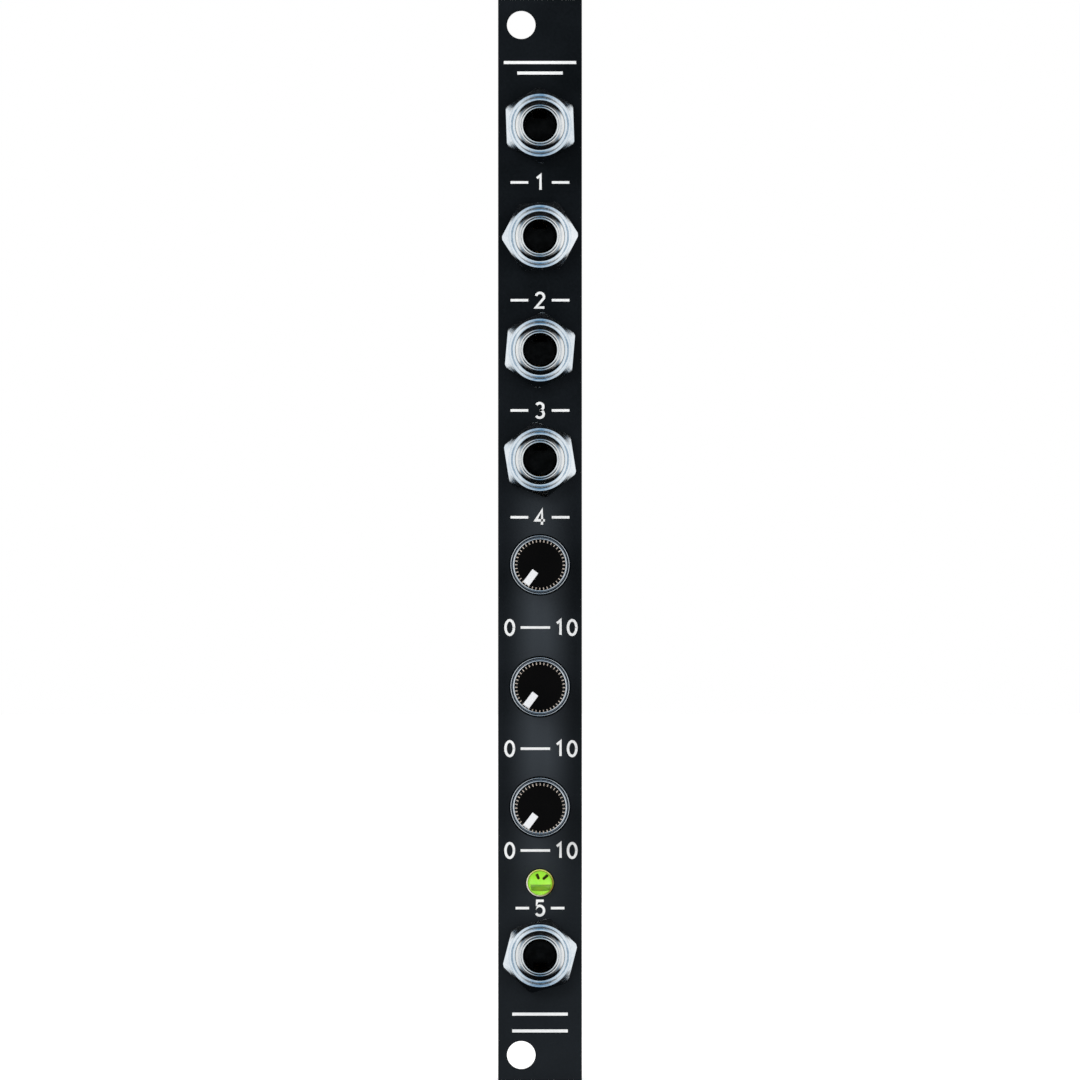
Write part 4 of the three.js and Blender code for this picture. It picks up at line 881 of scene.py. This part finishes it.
# Solder mask: a satin near black, slightly uneven. Routed laminate: straw yellow, dull and fibrous.
solder_mask = finish("satin black solder mask", ("#0B0E10", "#141819"), (0.34, 0.48), 0.5, 0.004,
                     Specular_IOR_Level=0.2)
laminate = finish("routed glass-epoxy edge", ("#8E8A52", "#B0AA6E"), (0.55, 0.75), 0.12, 0.02)
board_front, board_back = 10.0, 11.6


def mask_faces(bm, axis):
    """Gives the routed edge faces of a board the laminate and leaves the flat faces to the mask."""
    bm.normal_update()
    for face in bm.faces:
        face.material_index = 0 if abs(face.normal[axis]) > 0.9 else 1


x = 4.8
rim = [(-x, 6.1), (x, 6.1)]
for height in reversed(control_heights):
    rim += [(x, height - 1.3), (3.9, height - 1.3), (3.9, height + 1.3), (x, height + 1.3)]
rim += [(x, 116.4), (-x, 116.4)]
for height in control_heights:
    rim += [(-x, height + 1.3), (-3.9, height + 1.3), (-3.9, height - 1.3), (-x, height - 1.3)]
pin_places = []
for number, height in enumerate(jack_heights, 1):
    up = -1 if number == 5 else 1
    pin_places += [(0, height + up * place) for place in (tip_pin, switch_pin, earth_pin)]
for height in control_heights:
    pin_places += [(px, height + terminal_pin) for px in terminal_places]
pin_places += [(-pin_pitch / 2, lamp_height), (pin_pitch / 2, lamp_height)]
bm = sheet([rim] + [circle(px, pz, 0.5, 24) for px, pz in pin_places], board_front, board_back, 0.06)
mask_faces(bm, 1)
fit("control_board_laminate", finished_mesh(bm, solder_mask, laminate), "solder_mask", "control_board")

main_front, main_back, main_low, main_high = 15.4, 35.4, 6.4, 116.1
rim = [(main_front, main_low), (main_back - 3, main_low), (main_back, main_low + 3),
       (main_back, main_high - 3), (main_back - 3, main_high), (main_front, main_high)]
board_half = 0.8
hole_inset = 5
upper_link, lower_link = 96.775, 13.0
link_pin_depth = 19.1


def pin_row(middle, count):
    """The heights of a row of pins about its middle."""
    return [middle + (i - (count - 1) / 2) * pin_pitch for i in range(count)]


link_pin_heights = pin_row(upper_link, 6) + pin_row(lower_link, 5)


def main_place(height_share, depth_share):
    """A place on the main board as (y, z), from shares of the board's height and depth."""
    depth = main_front + depth_share * (main_back - main_front)
    return depth, main_low + height_share * (main_high - main_low)


can_places = [main_place(0.22, 0.55), main_place(0.36, 0.55)]
can_lead_reach, can_lead_side = 4.9, 0.75
holes = [circle(main_back - hole_inset, z, 1.1, 36)
         for z in (main_low + hole_inset, main_high - hole_inset)]
holes += [circle(link_pin_depth, height, 0.5, 24) for height in link_pin_heights]
holes += [circle(y - can_lead_reach, z + side * can_lead_side, 0.4, 20) for y, z in can_places
          for side in (-1, 1)]
bm = sheet([rim] + holes, -board_half, board_half, 0.06)
bm.transform(Matrix.Rotation(math.radians(90), 4, "Z"))
mask_faces(bm, 0)
fit("main_board_laminate", finished_mesh(bm, solder_mask, laminate), "solder_mask", "main_board")

# Tracks: copper under the mask, which stands up a twentieth of a millimetre. It runs between the parts
# that it joins with 45 degree corners, and ends in a via through the board.

# Over copper the same mask is a little paler and smoother.
mask_over_copper = finish("solder mask over copper", ("#1B2022", "#242A2C"), (0.26, 0.36), 0.4, 0.003)


def tracks(name, runs, along, up, face, width, tall=0.09, laid=mask_over_copper, finish_slot="solder_mask",
           via=0.0):
    """Lays runs of print or copper on a board's face, with a round via at the ends of each copper run."""
    bm = new_body()
    out = along.cross(up)
    for run in runs:
        formed(bm, run, width, tall, 0, along, up, middle=face)
        for end in (run[0], run[-1]) if via else ():
            skin(bm, [[face + along * a + up * u + out * rise for a, u in circle(*end, reach, 16)]
                      for reach, rise in ((via - 0.03, -0.06), (via, -0.05), (via, 0.05),
                                          (via - 0.03, 0.06))])
    fit(name, finished_mesh(bm, laid), finish_slot)


right_face, left_face = X * board_half, X * -board_half
runs = []
for i, z in enumerate(pin_row(upper_link, 6)):
    turn = 22.6 + 0.5 * i
    runs.append([(19.9, z), (turn - 0.8, z), (turn, z - 0.8), (turn, 83.5 + 0.7 * i)])
for i, z in enumerate(pin_row(lower_link, 5)):
    turn = 24.4 - 0.5 * i
    runs.append([(19.9, z), (turn - 0.8, z), (turn, z + 0.8), (turn, 22.5 - 0.7 * i)])
for i in range(4):
    y, step = 25.0 + 0.8 * i, 0.33 * i
    runs.append([(y, 69.5), (y, 62.0 + step), (28.0 + step, 59.0 + 0.8 * i), (30.8, 59.0 + 0.8 * i)])
    runs.append([(y, 45.0), (y, 52.0 - step), (29.6 + step, 56.6 - 0.8 * i), (30.8, 56.6 - 0.8 * i)])
tracks("main_board_right_tracks", runs, Y, Z, right_face, 0.3, via=0.31)
runs = []
for i in range(5):
    runs.append([(18.2 + 0.7 * i, 24.0 + 6.0 * i), (18.2 + 0.7 * i, 88.0 - 3.0 * i),
                 (20.2 + 0.7 * i, 90.0 - 3.0 * i), (20.2 + 0.7 * i, 107.0 - 0.8 * i)])
    runs.append([(31.0 + 0.5 * i, 20.0 + 1.2 * i), (31.0 + 0.5 * i, 48.0 - 1.2 * i)])
    runs.append([(31.0 + 0.5 * i, 104.0 - 1.2 * i), (31.0 + 0.5 * i, 74.0 + 1.2 * i)])
tracks("main_board_left_tracks", runs, Y, Z, left_face, 0.3, via=0.31)
runs = []
for i in range(4):
    x = -3.9 + 0.6 * i
    runs.append([(x, 20.0 + 4 * i), (x, 46.0 + 5 * i), (x + 0.5, 46.5 + 5 * i), (x + 0.5, 108.0 - 3 * i)])
    runs.append([(3.9 - 0.5 * i, 24.0 + 3 * i), (3.9 - 0.5 * i, 86.0 - 4 * i)])
tracks("control_board_tracks", runs, X, Z, Y * board_back, 0.28, via=0.24)

# Solder: each pin and tab is soldered where it comes through its board, in a hollow cone round a pin
# and a low mound over a tab. Bare pads and the rims of the fixing holes are tinned.
header_middle = 61.25


def joint(bm, tip, heading, wide=0.85, tall=0.75):
    """A cone that has drawn up a pin: wide at its pad and hollow towards the pin."""
    heading = Vector(heading)
    first = next(axis for axis in (X, Z, Y) if abs(axis.dot(heading)) < 0.1)
    second = heading.cross(first)
    rings = []
    for up, out in ((-0.03, wide), (0.06, wide), (0.12, wide * 0.82), (tall * 0.4, wide * 0.52),
                    (tall * 0.75, wide * 0.4), (tall, wide * 0.3)):
        rings.append([Vector(tip) + heading * up + first * u + second * v
                      for u, v in circle(0, 0, out, 16)])
    skin(bm, rings)


# Solder that has flowed: bright, with a faint grain where it froze.
bright_solder = finish("reflowed solder", ("#B4B7BA", "#C9CCCE"), (0.14, 0.26), 0.4, 0.006, Metallic=1.0)
bm = new_body()
for px, pz in pin_places:
    joint(bm, (px, board_back, pz), Y)
mound = (board_back - 0.02, board_back + 0.45)
for height in control_heights:
    for side in (-1, 1):
        for z in (height - 1.1, height + 1.1):
            block(bm, (side * 3.75, side * 4.7), mound, (z - 0.4, z + 0.4), 0.15)
fit("control_board_solder", finished_mesh(bm, bright_solder, smooth=60), "tinned_lead")
bm = new_body()
for height in link_pin_heights:
    joint(bm, (-board_half, link_pin_depth, height), -X)
for y, z in can_places:
    for side in (-1, 1):
        joint(bm, (board_half, y - can_lead_reach, z + side * can_lead_side), X, 0.62, 0.6)
for side in (-1, 1):
    for z in pin_row(header_middle, 5):
        block(bm, (side * 0.78, side * 1.02), (31.6, 35.3), (z - 0.7, z + 0.7), 0.1)
        block(bm, (side * 0.9, side * 1.5), (32.2, 35.1), (z - 0.5, z + 0.5), 0.24)
for height in (main_low + hole_inset, main_high - hole_inset):
    for low in (-0.85, 0.79):
        ring = new_body()
        turned(ring, [(1.12, 0), (1.9, 0), (1.9, 0.06), (1.12, 0.06)], 32)
        merge(bm, ring, Matrix.Translation((low, main_back - hole_inset, height))
              @ Matrix.Rotation(math.radians(-90), 4, "Z"))
fit("main_board_solder", finished_mesh(bm, bright_solder, smooth=60), "tinned_lead")

# Links: black glass-filled strips with a pin every 2.54 mm. The socket stands on the control board,
# and the pins are bent through the main board.

# Glass-filled polyester: black, a little shiny, with a fine texture. Gold flash: thin, pale and bright.
connector_plastic = finish("moulded black glass-filled polyester", ("#151516", "#1F2021"), (0.36, 0.5),
                           0.15, 0.01)
gold_flash = finish("gold flash over nickel", ("#D8B25A", "#E4C274"), (0.16, 0.26), 0.3, 0.003,
                    Metallic=1.0)
link_x = 2.05


def funnel(bm, x, z, ends):
    """A body that widens between two ends, each given as y, half its width and half its height."""
    skin(bm, [[(x + u * wide, y, z + v * tall) for u, v in ((-1, -1), (1, -1), (1, 1), (-1, 1))]
              for y, wide, tall in ends])


for title, middle, count in (("upper", upper_link, 6), ("lower", lower_link, 5)):
    heights = pin_row(middle, count)
    cells = [(z - pin_pitch / 2 + (0.01 if i else 0), z + pin_pitch / 2) for i, z in enumerate(heights)]
    bm = new_body()
    cutter = new_body()
    for cell, height in zip(cells, heights):
        block(bm, (link_x - 1.25, link_x + 1.25), (11.6, 15.1), cell, 0.22, 1)
        block(cutter, (link_x - 0.42, link_x + 0.42), (12.0, 16), (height - 0.42, height + 0.42))
    for height in heights:
        funnel(cutter, link_x, height, ((14.75, 0.3, 0.3), (15.3, 0.95, 0.95)))
    bm = carved(bm, cutter)
    fit(f"{title}_link_socket_strip", finished_mesh(bm, connector_plastic, smooth=30),
        "connector_plastic", f"{title}_link_socket")
    bm = new_body()
    for cell in cells:
        block(bm, (board_half, 3.3), (main_front, 17.9), cell, 0.28, 1)
    fit(f"{title}_link_pin_strip", finished_mesh(bm, connector_plastic),
        "connector_plastic", f"{title}_link_pins")
    bm = new_body()
    bent_pin = [(link_x, 12.6), (link_x, link_pin_depth), (-1.8, link_pin_depth)]
    for height in heights:
        formed(bm, bent_pin, 0.62, 0.62, 0.7, X, Y, middle=(0, 0, height))
    fit(f"{title}_link_gold_pins", finished_mesh(bm, gold_flash), "connector_plastic", f"{title}_link_pins")

# Power header: a moulded shroud with a keyway on its right, ribs on its outside, and two rows of gold
# pins whose tails straddle the main board's rear edge.
header_low, header_high = header_middle - 10.15, header_middle + 10.15
header_front, header_back = 35.7, 44.7
bm = new_body()
block(bm, (-4.45, 4.45), (header_front, header_back), (header_low, header_high), 0.3, 2)
cutter = new_body()
block(cutter, (-3.3, 3.3), (38.1, 46), (header_low + 1.15, header_high - 1.15), 0.12, 1)
block(cutter, (0, 9), (39.3, 46), (header_middle - 2.25, header_middle + 2.25))
funnel(cutter, 0, header_middle, ((44.3, 3.2, 8.9), (45.0, 3.9, 9.6)))
for side in (-1, 1):
    for low, high in ((header_low + 0.9, header_middle - 3.2), (header_middle + 3.2, header_high - 0.9)):
        block(cutter, (side * 4.2, side * 5.5), (36.6, 43.4), (low, high))
bm = carved(bm, cutter)
fit("power_header_shroud", finished_mesh(bm, connector_plastic, smooth=30),
    "connector_plastic", "power_header")
bm = new_body()
for side in (-1, 1):
    for z in pin_row(header_middle, 5):
        post(bm, (side * pin_pitch / 2, 31.8, z), (side * pin_pitch / 2, 44.0, z), 0.64, 0.4)
fit("power_header_gold_pins", finished_mesh(bm, gold_flash), "connector_plastic", "power_header")

# Chips: dark epoxy moulded round a tinned lead frame, with drafted sides that meet at a parting line,
# a dimple at the first pin and gull-wing leads soldered to pads.

# Moulding compound: charcoal and matt, with a sandy grain of about 0.1 mm.
chip_epoxy = finish("moulded chip epoxy", ("#1A1A1B", "#242425"), (0.5, 0.68), 0.1, 0.012)
chip_lift = 0.15


def seat_on_main_board(place, side, unit=MM):
    """Stands a part that is drawn with its foot at x = 0 on the board's right or left face."""
    turn = Matrix.Rotation(0 if side > 0 else math.pi, 4, "Y")
    return Matrix.Translation(Vector((side * board_half, *place)) * unit) @ turn


def chip_outline(wide, long, cut):
    """A rectangle with its corners cut."""
    w, h = wide / 2, long / 2
    right = [(w - cut, -h), (w, -h + cut), (w, h - cut), (w - cut, h)]
    return right + [(-y, -z) for y, z in right]


def chip(name, wide, long, thick, rows, pitch, lead_width, place, tab=0.0):
    """A chip on the board's right face. rows gives its lead count on the +Y, +Z, -Y and -Z sides."""
    middle = chip_lift + thick / 2
    top = chip_lift + thick
    bm = new_body()
    rings = []
    for up, shrink in ((chip_lift, 0.12), (middle - 0.03, 0.0), (middle + 0.03, 0.0), (top - 0.05, 0.1),
                       (top, 0.16)):
        rings.append([(up, y, z) for y, z in chip_outline(wide - 2 * shrink, long - 2 * shrink, 0.14)])
    skin(bm, rings)
    cutter = new_body()
    rings = []
    for up, out in ((top - 0.12, 0.16), (top - 0.06, 0.3), (top + 0.2, 0.34)):
        rings.append([(up, y, z) for y, z in circle(wide / 2 - 0.8, long / 2 - 0.8, out, 20)])
    skin(cutter, rings)
    bm = carved(bm, cutter)
    seat = seat_on_main_board(place, 1)
    fit(f"{name}_epoxy_body", finished_mesh(bm, chip_epoxy, smooth=25), "chip_epoxy", name, at=seat)
    bm = new_body()
    for quarter, count in enumerate(rows):
        half = (wide if quarter % 2 == 0 else long) / 2
        for i in range(count):
            one = new_body()
            width = tab if tab and quarter == 2 else lead_width
            gull = [(half - 0.25, middle), (half + 0.32, middle), (half + 0.45, 0.19), (half + 1.0, 0.19)]
            formed(one, gull, 0.18, width, 0.14, Y, X)
            w = width / 2
            block(one, (-0.01, 0.05), (half + 0.2, half + 1.12), (-w - 0.05, w + 0.05))
            block(one, (0.04, 0.13), (half + 0.3, half + 1.05), (0.02 - w, w - 0.02), 0.03, 1)
            along_side = Matrix.Translation((0, 0, (i - (count - 1) / 2) * pitch))
            merge(bm, one, Matrix.Rotation(quarter * math.pi / 2, 4, "X") @ along_side)
    fit(f"{name}_leads", finished_mesh(bm, tinned), "tinned_lead", name, at=seat)


chip("microcontroller", 7.0, 7.0, 1.0, (8, 8, 8, 8), 0.8, 0.37, main_place(0.63, 0.56))
chip("amplifier_chip", 3.9, 4.9, 1.5, (4, 0, 4, 0), 1.27, 0.42, main_place(0.3, 0.45))
chip("voltage_regulator", 3.5, 6.5, 1.6, (3, 0, 1, 0), 2.3, 0.7, main_place(0.19, 0.6), tab=3.0)

# Protection diodes: a drafted epoxy block with a grey band at the cathode and a lead wrapped under
# each end.

# Pad-printed ink: a flat grey.
cathode_grey = finish("pad-printed grey band", ("#A9ABAC", "#BFC1C1"), (0.5, 0.65), 0.1, 0.004)
for number, shares in enumerate(((0.38, 0.82), (0.46, 0.45)), 1):
    seat = seat_on_main_board(main_place(*shares), 1)
    bm = new_body()
    rings = []
    for up, shrink in ((chip_lift, 0.2), (1.22, 0.0), (1.28, 0.0), (2.29, 0.18), (2.35, 0.25)):
        rings.append([(up, y, z) for y, z in chip_outline(2.6 - 1.2 * shrink, 4.3 - 2 * shrink, 0.1)])
    skin(bm, rings)
    fit(f"diode_{number}_epoxy_body", finished_mesh(bm, chip_epoxy, smooth=25), "chip_epoxy",
        f"diode_{number}", at=seat)
    bm = new_body()
    block(bm, (2.3, 2.365), (-1.12, 1.12), (1.05, 1.55))
    fit(f"diode_{number}_band", finished_mesh(bm, cathode_grey), "chip_epoxy", at=seat)
    bm = new_body()
    for end in (-1, 1):
        wrapped = [(end * 2.0, 1.25), (end * 2.35, 1.25), (end * 2.35, 0.2), (end * 1.25, 0.2)]
        formed(bm, wrapped, 0.2, 1.5, 0.2, Z, X)
        block(bm, (-0.01, 0.08), (-0.85, 0.85), (end * 1.3, end * 2.75), 0.02, 1)
    fit(f"diode_{number}_leads", finished_mesh(bm, tinned), "tinned_lead", f"diode_{number}", at=seat)

# Small parts: chip capacitors of fired ceramic and chip resistors with a black glaze, 1.6 by 0.8 mm.
# Their tinned ends are soldered to the board in rows beside the parts that they serve.

# Fired ceramic is tan and matt, and the glaze on the resistors black and smooth.
fired_ceramic = finish("fired ceramic", ("#A08560", "#BCA27C"), (0.42, 0.58), 0.1, 0.006)
black_glaze = finish("black glaze over a resistor film", ("#0E0F11", "#1A1B1D"), (0.26, 0.4), 0.1, 0.004)
right_places = ((21.0, 78.5, 1), (21.0, 75.5, 1), (21.0, 72.5, 0), (28.6, 83.6, 1), (30.8, 83.6, 1),
                (21.6, 49.8, 0), (24.4, 33.6, 1), (27.4, 33.6, 0), (30.6, 40.4, 1), (30.6, 37.4, 0),
                (21.6, 62.0, 1), (21.6, 65.0, 0), (29.0, 47.4, 1))
left_places = ((30.0, 93.4, 1), (27.6, 93.4, 1), (25.2, 93.4, 0), (29.4, 68.6, 1), (26.8, 68.6, 0),
               (24.2, 68.6, 1), (29.4, 56.4, 0), (26.8, 56.4, 1), (28.4, 38.2, 1), (26.0, 38.2, 0),
               (28.4, 22.4, 1), (26.0, 22.4, 1))
for title, side, places in (("right", 1, right_places), ("left", -1, left_places)):
    ceramics, resistors, ends = new_body(), new_body(), new_body()
    for y, z, is_capacitor in places:
        lie = seat_on_main_board((y, z), side, 1)
        one = new_body()
        tall = 0.7 if is_capacitor else 0.45
        block(one, (0.03, tall), (-0.4, 0.4), (-0.56, 0.56), 0.04, 1)
        merge(ceramics if is_capacitor else resistors, one, lie)
        one = new_body()
        for end in (-1, 1):
            block(one, (0.0, tall + 0.02), (-0.42, 0.42), (end * 0.5, end * 0.82), 0.06)
            block(one, (-0.01, tall * 0.5), (-0.38, 0.38), (end * 0.78, end * 1.02), 0.11)
            block(one, (-0.01, 0.05), (-0.45, 0.45), (end * 0.6, end * 1.12))
        merge(ends, one, lie)
    fit(f"{title}_chip_capacitors", finished_mesh(ceramics, fired_ceramic), "chip_epoxy")
    fit(f"{title}_chip_resistors", finished_mesh(resistors, black_glaze), "chip_epoxy")
    fit(f"{title}_small_part_ends", finished_mesh(ends, bright_solder), "tinned_lead")

# Board print: white screen-printed marks without letters, a tick at each corner of a large part and a
# short dash at its first pin.
tick = 0.9
for title, face, parts in (
    ("right", right_face, (((0.63, 0.56), 4.9, 4.9), ((0.3, 0.45), 3.3, 2.7), ((0.19, 0.6), 3.1, 3.6),
                           ((0.38, 0.82), 1.6, 3.1), ((0.46, 0.45), 1.6, 3.1))),
    ("left", left_face, (((0.68, 0.5), 2.9, 7.0), ((0.22, 0.55), 4.4, 2.4), ((0.36, 0.55), 4.4, 2.4))),
):
    marks = []
    for shares, half_wide, half_long in parts:
        y, z = main_place(*shares)
        for across in (-1, 1):
            for up in (-1, 1):
                corner = (y + across * half_wide, z + up * half_long)
                marks.append([(corner[0], corner[1] - up * tick), corner,
                              (corner[0] - across * tick, corner[1])])
        dash = z + half_long + 0.55
        marks.append([(y + half_wide - 0.15, dash), (y + half_wide + 0.15, dash)])
    tracks(f"{title}_board_print", marks, Y, Z, face, 0.16, 0.05, print_ink, "panel_paint")

# Crystal: a drawn nickel-silver can with round ends, welded to a thin flange. It stands on a moulded
# black seat with a lead under each end.

# Nickel silver: a warm white metal, drawn smooth, with a soft shine.
nickel_silver = finish("drawn nickel silver", ("#B5B4AC", "#C6C5BD"), (0.2, 0.32), 0.35, 0.004,
                       Metallic=1.0)


def stadium(wide, long, steps=14):
    """A rectangle with two round ends."""
    radius, reach = wide / 2, (long - wide) / 2
    ends = []
    for sign, start in ((1, 0), (-1, math.pi)):
        turns = [start + i * math.pi / steps for i in range(steps + 1)]
        ends += [(radius * math.cos(turn), sign * reach + radius * math.sin(turn)) for turn in turns]
    return ends


bm = new_body()
for levels in (((0.6, 5.2, 12.0), (0.65, 5.3, 12.1), (1.02, 5.3, 12.1), (1.1, 5.2, 12.0)),
               ((1.0, 4.6, 11.4), (2.9, 4.6, 11.4), (3.15, 4.52, 11.32), (3.32, 4.3, 11.1),
                (3.4, 3.9, 10.7))):
    skin(bm, [[(up, y, z) for y, z in stadium(wide, long)] for up, wide, long in levels])
seat = seat_on_main_board(main_place(0.68, 0.5), -1)
fit("crystal_drawn_can", finished_mesh(bm, nickel_silver, smooth=45), "crystal_can", "crystal", at=seat)
bm = new_body()
block(bm, (0.0, 0.62), (-2.3, 2.3), (-5.7, 5.7), 0.1)
for end in (-1, 1):
    block(bm, (-0.02, 0.2), (-0.5, 0.5), (end * 5.5, end * 6.6), 0.04)
fit("crystal_seat", finished_mesh(bm, connector_plastic), "crystal_can", "crystal", at=seat)

# Capacitors: an aluminium can crimped over a rubber bung, in a shrunk dark sleeve with a pale stripe
# on its negative side. Each lies on the board, with its two leads bent through it.

# Shrunk film: a dark blue-black, smooth and glossy. The can under it is pale aluminium, with faint rings
# from the drawing tool, the stripe pale grey ink, and the bung dull black rubber.
shrink_sleeve = finish("shrunk dark sleeve", ("#1B2230", "#262E3D"), (0.22, 0.34), 0.5, 0.003,
                       Coat_Weight=0.15)
can_aluminium = finish("drawn aluminium", ("#C9CBCC", "#D7D9DA"), (0.24, 0.38), 0.2, 0.003, Metallic=1.0)
tool_rings(can_aluminium, 0.15, 0.004)
pale_stripe = finish("printed pale stripe", ("#A9B4C0", "#BEC8D2"), (0.3, 0.42), 0.15, 0.002)
bung_rubber = finish("black rubber bung", ("#101011", "#18181A"), (0.6, 0.8), 0.2, 0.01)
can_axis = 2.1
for number, place in enumerate(can_places, 1):
    seat = seat_on_main_board(place, -1) @ Matrix.Translation((can_axis * MM, 0, 0))
    name = f"capacitor_{number}"
    bm = new_body()
    turned(bm, [(1.45, 3.48), (1.55, 3.5), (1.75, 3.5), (1.9, 3.46), (1.98, 3.36), (2.0, 3.2), (2.0, -1.75),
                (1.96, -1.88), (1.84, -2.05), (1.8, -2.2), (1.84, -2.35), (1.96, -2.52), (2.0, -2.65),
                (2.0, -3.25), (1.95, -3.4), (1.8, -3.48), (1.6, -3.5), (1.5, -3.45), (1.5, 3.3)], 56)
    fit(f"{name}_sleeve", finished_mesh(bm, shrink_sleeve, smooth=60), "capacitor_sleeve", name, at=seat)
    bm = new_body()
    turned(bm, [(0.02, 3.42), (1.5, 3.42), (1.62, 3.4), (1.62, 3.0), (0.02, 3.0)], 56, looped=False)
    cutter = new_body()
    for angle in (0, 120, 240):
        groove = new_body()
        block(groove, (-0.05, 0.05), (3.36, 3.6), (0, 1.2))
        merge(cutter, groove, Matrix.Rotation(math.radians(angle), 4, "Y"))
    bm = carved(bm, cutter)
    fit(f"{name}_scored_top", finished_mesh(bm, can_aluminium), "capacitor_sleeve", name, at=seat)
    bm = new_body()
    turned(bm, [(0.02, -3.46), (1.52, -3.46), (1.52, -3.0), (0.02, -3.0)], 40, looped=False)
    fit(f"{name}_bung", finished_mesh(bm, bung_rubber), "capacitor_sleeve", name, at=seat)
    bm = new_body()
    rings = []
    for y in (3.2, -1.7):
        rings.append([(r * math.cos(math.radians(a)), y, r * math.sin(math.radians(a)))
                      for r, a in ((2.012, 18), (2.012, 26), (2.012, 34), (2.012, 42), (1.98, 42),
                                   (1.98, 34), (1.98, 26), (1.98, 18))])
    skin(bm, rings)
    fit(f"{name}_stripe", finished_mesh(bm, pale_stripe), "capacitor_sleeve", at=seat)
    bm = new_body()
    bent_lead = [(0, -3.2), (0, -can_lead_reach), (-can_axis - 2.6, -can_lead_reach)]
    for side in (-1, 1):
        formed(bm, bent_lead, 0.42, 0.42, 0.5, X, Y, middle=(0, 0, side * can_lead_side))
    fit(f"{name}_leads", finished_mesh(bm, tinned), "tinned_lead", name, at=seat)
